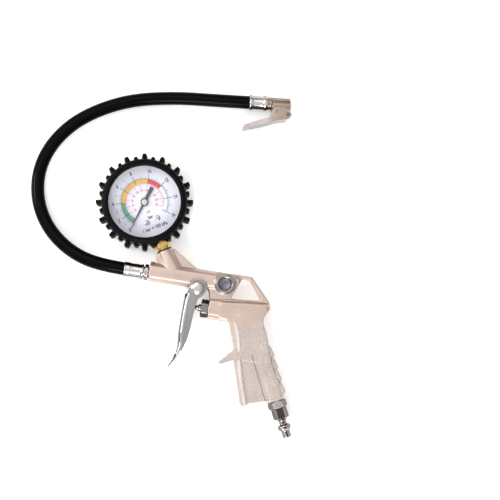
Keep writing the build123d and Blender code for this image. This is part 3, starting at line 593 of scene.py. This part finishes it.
# The finish of each ink of the dial's printing, by its name.
INKS = {
    "black": ink("ink_black", (0.05, 0.05, 0.06)),
    "pink": ink("ink_pink", (0.70, 0.20, 0.33)),
    "green": ink("ink_green", (0.10, 0.42, 0.25)),
    "amber": ink("ink_amber", (0.90, 0.52, 0.06)),
    "red": ink("ink_red", (0.80, 0.06, 0.08)),
}


# --- Hose, its fittings and the chuck ---------------------------------------------------------
HOSE_R = 5.9
HOSE_ROUTE = [
    (-22.4, -1.2, 14.0),
    (-47.5, -1.2, 14.0),
    (-75.0, 8.0, 11.0),
    (-97.0, 26.0, 7.6),
    (-110.0, 50.5, 6.0),
    (-112.0, 78.5, 5.9),
    (-101.5, 106.0, 5.9),
    (-79.5, 130.1, 5.9),
    (-43.5, 149.9, 5.9),
    (-2.1, 159.0, 6.2),
    (36.2, 162.0, 9.4),
    (65.0, 165.0, 9.4),
]


def hose():
    """The free hose, from the ferrule at the gun to the one at the chuck."""
    curve = bpy.data.curves.new("hose_tube", "CURVE")
    curve.dimensions = "3D"
    curve.resolution_u = 16
    curve.bevel_depth = HOSE_R * MM
    curve.bevel_resolution = 12
    curve.use_fill_caps = True
    line = curve.splines.new("NURBS")
    line.points.add(len(HOSE_ROUTE) - 1)
    for point, place in zip(line.points, HOSE_ROUTE):
        point.co = (*at(*place), 1.0)
    line.order_u = 3
    line.use_endpoint_u = True
    thing = shown("hose_tube", curve)
    curve.materials.append(FINISHES["hose_rubber"])
    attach(thing, "gun")
    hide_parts("hose")
    return thing


def gun_end():
    """The tail screwed into the barrel and the sleeve crimped over the hose."""
    barb = [
        (2.2, -9.0), (6.2, -9.0), (6.3, 0.0), (4.6, 0.4), (4.6, 5.2), (3.4, 5.4), (3.4, 22.4),
        (2.2, 22.4),
    ]
    tail = joined(lathe(barb, GUN_FRONT), hexagon(12.6, 0.9, 4.4, GUN_FRONT, 2.2))
    piece("hose_tail_turned", tail, "nickel", "gun", ("hose_tail",))
    sleeve = [
        (3.45, 5.2), (6.2, 5.2), (6.75, 5.6), (6.8, 6.6), (6.3, 7.2), (6.05, 8.2), (6.1, 9.2),
        (6.2, 12.0), (6.1, 16.4), (6.3, 17.4), (6.5, 18.0), (6.5, 21.0), (6.85, 21.6), (6.8, 22.3),
        (6.1, 22.4), (3.45, 22.4),
    ]
    piece("hose_ferrule_crimped", lathe(sleeve, GUN_FRONT, 0.4), "chrome", "gun", ("hose_ferrule",))


def chuck_end():
    """The clip-on chuck: its sleeve, body, lever, pin and spring."""
    sleeve = [
        (3.45, 0.0), (6.3, 0.0), (6.85, 0.5), (6.8, 1.8), (6.4, 3.0), (6.05, 3.8), (6.1, 8.0),
        (6.05, 12.2), (6.5, 12.8), (6.65, 13.6), (6.65, 15.0), (6.2, 15.9), (6.1, 16.8), (3.45, 16.8),
    ]
    piece("chuck_ferrule_crimped", lathe(sleeve, CHUCK_LINE, 0.4), "chrome", "gun", ("chuck_ferrule",))
    cast_copy("chuck_body_cast", "chuck_body", "chuck_nickel", "gun", 0.22, 4)
    cast_copy("chuck_lever_pressed", "chuck_lever", "lever_nickel", "chuck_lever", 0.22, 3)
    pin = CHUCK @ Matrix.Translation((LEVER_U, LEVER_V, 0))
    shank = [
        (0, 0.08), (1.1, 0.08), (1.15, 0.5), (1.15, 18.75), (1.85, 18.8), (1.8, 19.2), (1.3, 19.4),
        (0, 19.4),
    ]
    piece("chuck_pin_headed", lathe(shank, pin, 0.15), "chuck_nickel", "gun", ("chuck_pin",))
    coil_r = 2.1
    coil = []
    for step in range(61):
        angle = math.radians(-60 + step * 9)
        x, y = LEVER_U + coil_r * math.cos(angle), LEVER_V + coil_r * math.sin(angle)
        coil.append((x, y, 16.0 + step * 0.02))
    coil.append((31.4, -12.2, 16.5))
    piece("chuck_spring_wire", tube(coil, 0.42, CHUCK), "spring_steel", "gun", ("chuck_spring",))


# --- Gauge ------------------------------------------------------------------------------------
ART_TILT = 30.0           # the printing's own lean
DIAL_TOP = 20.6

# The dial's angle at each whole bar, then its angle at no psi and the step to each further psi.
BAR_MARKS = [
    221.5, 208.7, 195.9, 179.4, 163.0, 146.1, 129.3, 112.1, 95.0, 77.5, 60.0, 42.2, 24.5, 7.1,
    -10.3, -27.4, -44.5,
]
PSI_ZERO, PSI_STEP = 221.5, -1.1522


def bar_angle(value):
    """The dial's angle for a pressure in bar."""
    whole = min(int(value), len(BAR_MARKS) - 2)
    return BAR_MARKS[whole] + (BAR_MARKS[whole + 1] - BAR_MARKS[whole]) * (value - whole)


def on_dial(radius, degrees):
    turn = math.radians(degrees)
    return radius * math.cos(turn), radius * math.sin(turn)


def sector(inner, outer, first, last):
    """A curved band, as flat faces."""
    steps = max(2, int(abs(last - first) / 1.5))
    verts, faces = [], []
    for n in range(steps + 1):
        angle = first + (last - first) * n / steps
        verts += [on_dial(inner, angle), on_dial(outer, angle)]
    for n in range(steps):
        faces.append((2 * n, 2 * n + 1, 2 * n + 3, 2 * n + 2))
    return verts, faces


def tick(inner, outer, degrees, width):
    (x0, y0), (x1, y1) = on_dial(inner, degrees), on_dial(outer, degrees)
    dx, dy = on_dial(width / 2, degrees + 90)
    corners = [(x0 - dx, y0 - dy), (x1 - dx, y1 - dy), (x1 + dx, y1 + dy), (x0 + dx, y0 + dy)]
    return corners, [(0, 1, 2, 3)]


def letters(text, height, x, y, squeeze=0.8):
    """Lettering of a height, centred on a point, as flat faces."""
    curve = bpy.data.curves.new("lettering", "FONT")
    curve.body = text
    curve.resolution_u = 5
    curve.offset = 0.03   # a little bolder than the font
    holder = shown("lettering", curve)
    bpy.context.view_layer.update()
    mesh = holder.to_mesh()
    verts = [tuple(v.co) for v in mesh.vertices]
    faces = [tuple(p.vertices) for p in mesh.polygons]
    holder.to_mesh_clear()
    bpy.data.objects.remove(holder)
    low_x, high_x = min(v[0] for v in verts), max(v[0] for v in verts)
    low_y, high_y = min(v[1] for v in verts), max(v[1] for v in verts)
    scale = height / (high_y - low_y)
    middle_x, middle_y = (low_x + high_x) / 2, (low_y + high_y) / 2
    placed = []
    for v in verts:
        placed.append((x + (v[0] - middle_x) * scale * squeeze, y + (v[1] - middle_y) * scale))
    return placed, faces


def dial_marks():
    """What is printed on the dial: (ink, flat vertices, faces) for each mark."""
    marks = [
        ("green", *sector(17.0, 20.5, bar_angle(0), bar_angle(4))),
        ("amber", *sector(17.0, 20.5, bar_angle(4), bar_angle(10))),
        ("red", *sector(17.0, 20.5, bar_angle(10), bar_angle(12))),
        ("black", *sector(20.5, 20.85, bar_angle(0), bar_angle(16))),
        ("pink", *sector(16.5, 16.85, PSI_ZERO, PSI_ZERO + 220 * PSI_STEP)),
    ]
    for fifth in range(16 * 5 + 1):
        value = fifth / 5
        if fifth % 10 == 0:
            marks.append(("black", *tick(17.0, 24.8, bar_angle(value), 0.5)))
        elif fifth % 5 == 0:
            marks.append(("black", *tick(20.7, 23.4, bar_angle(value), 0.34)))
        else:
            marks.append(("black", *tick(20.7, 22.4, bar_angle(value), 0.25)))
    for five in range(1, 45):
        angle = PSI_ZERO + five * 5 * PSI_STEP
        major = five % 4 == 0
        marks.append(("pink", *tick(13.3 if major else 15.0, 16.6, angle, 0.5 if major else 0.26)))
    for value in range(0, 17, 2):
        marks.append(("black", *letters(str(value), 3.6, *on_dial(27.9, bar_angle(value)), 0.74)))
    for value in (1, 3, 5, 7):
        marks.append(("pink", *letters(str(value), 2.3, *on_dial(25.6, bar_angle(value)), 0.7)))
    for value in range(20, 221, 20):
        if value != 160:
            spot = on_dial(10.8, PSI_ZERO + value * PSI_STEP)
            marks.append(("pink", *letters(str(value), 2.1, *spot, 0.72)))
    marks.append(("pink", *letters("psi", 3.3, 0.0, -9.2, 0.85)))
    marks.append(("black", *letters("bar", 2.9, 0.2, -14.0, 0.85)))
    marks.append(("black", *letters("1 bar = 100 kPa", 3.2, 0.9, -23.9, 0.86)))
    return marks


def dial_print():
    """All of the dial's printing as one thin layer on the dial plate."""
    place = upright(GAUGE_X, GAUGE_Y, 0, ART_TILT)
    order = list(INKS)
    verts, faces, shades = [], [], []
    bands = ("green", "amber", "red")
    for shade, flat, more in dial_marks():
        start = len(verts)
        lift = 0.05 if shade in bands else 0.08
        verts += [place @ Vector((x, y, DIAL_TOP + lift)) for x, y in flat]
        faces += [tuple(start + n for n in face) for face in more]
        shades += [order.index(shade)] * len(more)
    mesh = bpy.data.meshes.new("dial_print")
    mesh.from_pydata(verts, [], faces)
    for shade in order:
        mesh.materials.append(INKS[shade])
    mesh.polygons.foreach_set("material_index", shades)
    thing = shown("dial_print", mesh)
    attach(thing, "gun")


def dial_screws():
    """Two screws with domed heads."""
    shapes = []
    for x, y, turn in ((-4.9, -17.8, 35), (5.4, -17.3, 70)):
        place = GAUGE @ Matrix.Translation((x, y, 0)) @ Matrix.Rotation(math.radians(turn), 4, "Z")
        head = [
            (0, 16.7), (1.0, 16.7), (1.0, 20.62), (2.25, 20.65), (2.25, 21.0), (1.6, 21.35),
            (0, 21.38),
        ]
        shapes.append(lathe(head, place, 0.1, 48))
    piece("dial_screws_domed", joined(*shapes), "nickel", "gun", ("dial_screws",))


def needle():
    """The pointer with its counterweight, and the cap over its hub."""
    place = GAUGE @ Matrix.Rotation(math.radians(NEEDLE_REST), 4, "Z")
    blade = plate([(2.6, -1.12), (26.6, -0.26), (26.6, 0.26), (2.6, 1.12)], 21.62, 21.98, place)
    tail = [(-2.4, -1.45), (-14.2, -1.78), (-14.9, -1.1), (-14.9, 1.1), (-14.2, 1.78), (-2.4, 1.45)]
    hub = [(0.75, 21.45), (3.4, 21.45), (3.5, 21.7), (3.5, 22.3), (3.2, 22.56), (0.75, 22.56)]
    shape = joined(blade, plate(tail, 21.62, 21.98, place), lathe(hub, place, 0.15, 64))
    piece("needle_pressed", shape, "needle_grey", "needle", ("needle",), bevel=0.08)
    cap = [
        (0.0, 22.6), (2.65, 22.6), (2.62, 23.0), (2.2, 23.3), (0.45, 23.45), (0.38, 23.2),
        (0.0, 23.2),
    ]
    piece("needle_cap_domed", lathe(cap, place, 0.15, 64), "cap_beige", "needle", ("needle_cap",))


LUGS = 32                 # places of a lug round the boot


def lug_feet():
    """The wide feet of the boot's lugs, tall and short in turn. The one at the stem is left out."""
    tall, short = (42.8, 2.4, 2.0, 19.0), (40.6, 2.1, 3.5, 21.0)
    root = 36.0
    shapes = []
    for n in range(1, LUGS):
        reach, half, low, high = tall if n % 2 == 0 else short
        place = GAUGE @ Matrix.Rotation(math.radians(-90 + 360.0 / LUGS * n), 4, "Z")
        outline = [
            (root, -half), (reach - 1.2, -half), (reach, -half + 1.0), (reach, half - 1.0),
            (reach - 1.2, half), (root, half),
        ]
        shapes.append(plate(outline, low, high, place))
    return joined(*shapes)


def gauge_fittings():
    """Boot, glass, bezel and the brass stem with its hexagon."""
    cast_copy("gauge_boot_moulded", "gauge_boot", "boot_rubber", "gun", 0.5, 5, extra=lug_feet())
    disc = [(0, 26.62), (32.9, 26.62), (33.15, 26.85), (33.15, 28.3), (32.9, 28.55), (0, 28.55)]
    piece("gauge_lens_ground", lathe(disc, GAUGE, 0.2, 160), "lens", "gun", ("gauge_lens",))
    rim = [(31.9, 28.6), (33.2, 28.6), (33.2, 30.0), (32.6, 30.0), (31.9, 29.3)]
    piece("bezel_ring_rolled", lathe(rim, GAUGE, 0.2, 160), "bezel_black", "gun", ("bezel_ring",))
    block = plate(rounded([(-7, -31), (7, -31), (7, -14.5), (-7, -14.5)], 1.0), 7.7, 20.0, GAUGE)
    profile = [
        (1.8, 28.2), (5.9, 28.2), (5.9, 32.8), (6.9, 33.0), (6.9, 38.0), (6.0, 43.0), (6.0, 45.0),
    ]
    for turn in range(11):
        height = 45.4 + turn
        profile += [(4.85, height), (4.45, height + 0.5)]
    profile += [(4.5, 57.0), (1.8, 57.0)]
    shape = joined(block, lathe(profile, STEM_LINE, 0.12), hexagon(15.6, 38.0, 43.2, STEM_LINE, 5.5))
    piece("gauge_stem_brass", shape, "brass", "gun", ("gauge_stem",))
    seal = [(4.95, 45.0), (6.3, 45.0), (6.68, 45.3), (6.68, 45.7), (6.3, 46.0), (4.95, 46.0)]
    shape = lathe(seal, STEM_LINE, 0.2)
    piece("gauge_seal_moulded", shape, "black_rubber", "gun", ("gauge_seal_ring",))


# --- Gun --------------------------------------------------------------------------------------
GRIP_PADS = [(111.0, -51.3), (115.6, -61.4), (120.0, -71.2), (125.4, -80.6)]


def grip_pads():
    """Small raised pads beside the finger bumps, on both sides of the grip."""
    shapes = []
    for x, y in GRIP_PADS:
        place = upright(x, y, 0, 26.0)
        outline = rounded([(-2.4, -2.5), (2.4, -2.5), (2.4, 2.5), (-2.4, 2.5)], 0.8)
        shapes.append(plate(outline, AXIS_Z - 13.0, AXIS_Z + 13.0, place))
    return joined(*shapes)


BEAD_LINES = [
    [(80.4, -30.6), (82.6, -35.0), (84.9, -41.7), (87.2, -48.7), (89.2, -57.5)],
    [(90.2, -66.0), (93.2, -79.3), (96.6, -91.0), (101.6, -105.0)],
]
BEAD_R, BEAD_RISE = 1.5, 7.22
BARREL_LEVEL = 7.6        # half height above which the barrel's crown is lowered
GRIP_RISE = 0.8           # the grip's crown is lowered from this much higher up
CROWN_KEPT, GRIP_LOSS = 0.4, 0.3    # the share kept of the crown, and how much less on the grip
BUTTON_BOSS_R = 10.0
GRIP_TOP_Y, GRIP_BLEND = -28.0, 10.0          # where the grip begins, and the stretch it takes
GAUGE_BOSS_Y = 12.0       # the gauge's boss, above this, keeps its round shape


def front_beads():
    """A half-round bead down the front edge of the grip, on both sides of it."""
    shapes = []
    for line in BEAD_LINES:
        for side in (-1, 1):
            points = [(x, y, AXIS_Z + side * BEAD_RISE) for x, y in line]
            shapes.append(tube(points, BEAD_R, upright(0, 0)))
    return joined(*shapes)


def distance_to_line(x, y, line):
    """The shortest distance from a point to a run of straight pieces."""
    point = Vector((x, y))
    best = 1e9
    for start, end in zip(line, line[1:]):
        a, way = Vector(start), Vector(end) - Vector(start)
        t = max(0.0, min(1.0, (point - a).dot(way) / way.length_squared))
        best = min(best, (point - a - way * t).length)
    return best


def flatten_crown(mesh):
    """Lowers the crown of the casting, whose barrel, chamber and grip are nearly flat on both sides."""
    for vert in mesh.vertices:
        x, y, z = (vert.co - ORIGIN) / MM
        height = abs(z - AXIS_Z)
        on_button_boss = math.hypot(x - BUTTON_X, y - BUTTON_Y) < BUTTON_BOSS_R
        if height <= BARREL_LEVEL or on_button_boss or y > GAUGE_BOSS_Y:
            continue
        grip = max(0.0, min(1.0, (GRIP_TOP_Y - y) / GRIP_BLEND))
        level = BARREL_LEVEL + GRIP_RISE * grip
        over = max(0.0, height - level)
        lowered = min(height, level + over * (CROWN_KEPT - GRIP_LOSS * grip))
        if y < GRIP_TOP_Y and min(distance_to_line(x, y, line) for line in BEAD_LINES) < BEAD_R:
            lowered = min(height, BEAD_RISE + BEAD_R)
        vert.co.z = ORIGIN.z + (AXIS_Z + math.copysign(lowered, z - AXIS_Z)) * MM


def chamber_sides():
    """Fills out the flanks of the chamber's front end, whose faces are nearly flat."""
    outline = [(57.2, -17.2), (68.0, -16.6), (86.0, -30.0), (86.0, -33.6), (57.2, -33.2)]
    return plate(outline, AXIS_Z - 7.3, AXIS_Z + 7.3, upright(0, 0))


def wedge():
    """The slanting shoulder where the grip grows out of the valve chamber."""
    outline = [
        (73.5, -31.0), (90.8, -22.8), (106.8, -15.8), (109.0, -18.0), (106.4, -26.4),
        (107.5, -38.0), (82.0, -38.0),
    ]
    return plate(outline, AXIS_Z - 10.4, AXIS_Z + 10.4, upright(0, 0))


TRIGGER_FRONT = [
    (35.0, -14.5), (34.0, -20.0), (33.5, -35.0), (33.5, -50.0), (34.6, -61.5), (33.9, -70.0),
    (32.0, -76.0), (29.0, -80.0),
]
TRIGGER_HALF = 10.6
TRIGGER_BEND = 4.2        # radius of the fold between the front plate and a cheek
TRIGGER_END_Y, NARROWING = -78.0, 20.0        # the fold tightens over this stretch before the end


def trigger_tip():
    """The thin lower end of the trigger, made a little thicker so that it survives the melting."""
    outline = [
        (34.8, -69.0), (33.0, -75.4), (29.8, -80.3), (28.3, -81.0), (31.0, -76.0), (33.0, -69.0),
    ]
    return plate(outline, AXIS_Z - 10.3, AXIS_Z + 10.3, upright(0, 0))


def bend_front(mesh):
    """Rounds the fold between the trigger's front plate and its cheeks."""
    for vert in mesh.vertices:
        x, y, z = (vert.co - ORIGIN) / MM
        off = distance_to_line(x, y, TRIGGER_FRONT)
        bend = TRIGGER_BEND * max(0.25, min(1.0, (y - TRIGGER_END_Y) / NARROWING))
        if off < bend:
            fall = math.sqrt(bend**2 - (bend - off) ** 2)
            limit = TRIGGER_HALF - bend + fall
            height = max(-limit, min(limit, z - AXIS_Z))
            vert.co.z = ORIGIN.z + (AXIS_Z + height) * MM


def gun():
    """The casting, trigger, valve's outer parts and the bleed button."""
    added = joined(grip_pads(), wedge(), chamber_sides(), front_beads())
    cast_copy(
        "gun_body_cast", "gun_body", "die_cast", "gun", 0.5, 6, extra=added, shaping=flatten_crown
    )
    cast_copy(
        "trigger_pressed", "trigger", "trigger_steel", "trigger", 0.26, 3, extra=trigger_tip(),
        shaping=bend_front,
    )
    rivet = upright(*PIVOT, AXIS_Z)
    dome = [
        (0, -13.0), (2.4, -12.7), (4.4, -11.7), (5.9, -10.65), (2.0, -10.62), (2.0, 10.62),
        (6.5, 10.65), (6.1, 11.1), (5.2, 11.75), (4.0, 12.4), (2.6, 12.85), (1.2, 13.0),
        (0.8, 12.95), (0.5, 12.6), (0, 12.5),
    ]
    piece("trigger_rivet", lathe(dome, rivet, 0.35), "rivet_steel", "gun", ("trigger_pin",))
    collar = [(2.3, -0.3), (3.4, -0.3), (3.4, -6.5), (2.3, -6.5)]
    neck = [(2.3, 0), (6.35, 0), (6.35, 5.3), (2.3, 5.3)]
    nut = joined(
        hexagon(14.4, -6.5, 0, VALVE_LINE, 3.4), lathe(collar, VALVE_LINE, 0.0),
        lathe(neck, VALVE_LINE),
    )
    piece("gland_nut_chamfered", nut, "dark_steel", "gun", ("gland_nut",))
    stem = [
        (0, -11.5), (1.3, -11.45), (2.1, -10.7), (2.15, -8.6), (3.2, -8.5), (3.25, -4.3), (2.15, -4.2),
        (2.15, 12.0), (0, 12.0),
    ]
    piece("valve_stem_turned", lathe(stem, VALVE_LINE, 0.2, 64), "dark_steel", "valve", ("valve_stem",))
    button = upright(BUTTON_X, BUTTON_Y, AXIS_Z)
    cap = [
        (0, 6.9), (4.4, 6.9), (4.9, 7.6), (5.1, 8.8), (5.15, 9.9), (4.9, 10.3), (4.5, 10.3),
        (3.4, 9.85), (1.8, 9.5), (0, 9.4),
    ]
    shape = lathe(cap, button, 0.25)
    piece("deflate_button_dished", shape, "button_metal", "button", ("deflate_button",))
    ring = [
        (5.5, 9.3), (9.1, 9.3), (9.1, 9.6), (8.5, 9.75), (8.45, 10.0), (8.0, 10.4), (6.5, 10.45),
        (6.3, 10.1), (5.6, 9.8),
    ]
    piece("button_ring_turned", lathe(ring, button, 0.25), "ring_steel", "gun", ("button_ring",))


def inlet():
    """The collar in the grip's foot and the quick-connect plug."""
    thread = [(5.0, 0.3), (6.6, 0.2), (6.6, -10.9), (5.0, -10.9)]
    collar = joined(hexagon(15.0, 0, 6.5, INLET_LINE, 5.0), lathe(thread, INLET_LINE, 0.1))
    piece("inlet_collar_chamfered", collar, "collar_nickel", "gun", ("inlet_collar",))
    profile = [
        (2.5, -1.9), (4.85, -1.9), (4.85, 6.4), (5.6, 6.6), (5.6, 15.9), (4.9, 16.6), (3.6, 17.8),
        (3.4, 18.6), (3.4, 21.4), (4.4, 22.0), (5.4, 22.5), (5.85, 23.3), (5.85, 25.3),
        (5.2, 26.2), (4.0, 27.3), (3.9, 28.0), (3.9, 32.8), (3.3, 33.7), (2.5, 33.8),
    ]
    plug = joined(hexagon(12.4, 6.5, 16.0, INLET_LINE, 4.9), lathe(profile, INLET_LINE, 0.35))
    piece("air_plug_turned", plug, "plug_nickel", "gun", ("air_plug",))


# --- CAD nodes shown as they are ---------------------------------------------------------------
KEPT = {
    "valve_seat": "brass",
    "valve_seal": "black_rubber",
    "valve_poppet": "brass",
    "valve_spring": "spring_steel",
    "button_spring": "spring_steel",
    "bleed_pin": "rivet_steel",
    "inlet_filter": "bronze_mesh",
    "gauge_case": "case_steel",
    "lens_gasket": "black_rubber",
    "dial_plate": "dial_white",
    "movement_back": "brass",
    "movement_front": "brass",
    "movement_posts": "brass",
    "sector_gear": "brass",
    "pinion": "spring_steel",
    "hairspring": "bronze",
    "bourdon_tube": "bronze",
    "link_rod": "brass",
    "stop_pin": "rivet_steel",
    "chuck_tail": "brass",
    "chuck_seal": "black_rubber",
    "valve_depressor": "rivet_steel",
    "chuck_claw": "claw_steel",
}
BEVELLED = ("valve_poppet", "movement_back", "movement_front", "chuck_claw", "stop_pin", "link_rod")


def dress_kept_nodes():
    """Their finish, and eased edges on the blocky ones."""
    for node, finish in KEPT.items():
        thing = NODES[node]
        thing.data.materials.clear()
        thing.data.materials.append(FINISHES[finish])
        if node in BEVELLED:
            soften(thing, 0.12)


# --- Studio -----------------------------------------------------------------------------------
def floor():
    """A plain pale floor far wider than the tool, faintly lit from below as a light table is."""
    half = 6.0
    corners = [(-half, -half, 0), (half, -half, 0), (half, half, 0), (-half, half, 0)]
    mesh = bpy.data.meshes.new("floor")
    mesh.from_pydata(corners, [], [(0, 1, 2, 3)])
    thing = shown("floor", mesh)
    paper = surface(
        "paper", colour(0.92, 0.92, 0.92), colour(0.90, 0.90, 0.90), 0.0, (0.8, 0.9), bump=0.0,
        gloss=0.0,
    )
    glow = paper.node_tree.nodes["Principled BSDF"].inputs
    glow["Emission Color"].default_value = colour(1.0, 1.0, 1.0)
    glow["Emission Strength"].default_value = 0.42
    mesh.materials.append(paper)


def soft_box(name, position, width, power):
    """A square lamp that faces the tool."""
    light = bpy.data.lights.new(name, "AREA")
    light.size = width
    light.energy = power
    lamp = shown(name, light)
    aim(lamp, at(*position), at(30, 40, 0))


def sky():
    """A bright room with a dark zone low down, so that round metal shows light and dark bands."""
    world = bpy.data.worlds.new("room")
    world.use_nodes = True
    tree = world.node_tree
    way = add(tree, "ShaderNodeTexCoord").outputs["Generated"]
    axes = add(tree, "ShaderNodeSeparateXYZ", [(0, way)])
    ramp = add(tree, "ShaderNodeValToRGB", [(0, axes.outputs["Z"])])
    stops = [
        (0.0, 0.9), (0.10, 0.7), (0.20, 0.24), (0.42, 0.30), (0.60, 0.78), (0.86, 0.98),
        (1.0, 0.92),
    ]
    points = ramp.color_ramp.elements
    for n, (position, level) in enumerate(stops):
        point = points[n] if n < 2 else points.new(position)
        point.position = position
        point.color = colour(level, level, level)
    shaded = darkened(tree, ramp.outputs[0], axes.outputs["X"], (-0.9, 0.9), (1.15, 0.8))
    shader = tree.nodes["Background"]
    tree.links.new(shaded, shader.inputs["Color"])
    shader.inputs["Strength"].default_value = 0.90
    bpy.context.scene.world = world


def studio():
    """The floor, the room and three soft lamps."""
    floor()
    sky()
    soft_box("key", (0, -900, 700), 0.42, 6.5)
    soft_box("left", (-1000, 60, 560), 0.28, 5.0)
    soft_box("fill", (-500, 600, 1100), 1.2, 4.5)
    bpy.context.scene.view_settings.view_transform = "Standard"


camera()
hose_piece = hose()
gun_end()
chuck_end()
gauge_fittings()
dial_print()
dial_screws()
needle()
gun()
inlet()
dress_kept_nodes()
studio()
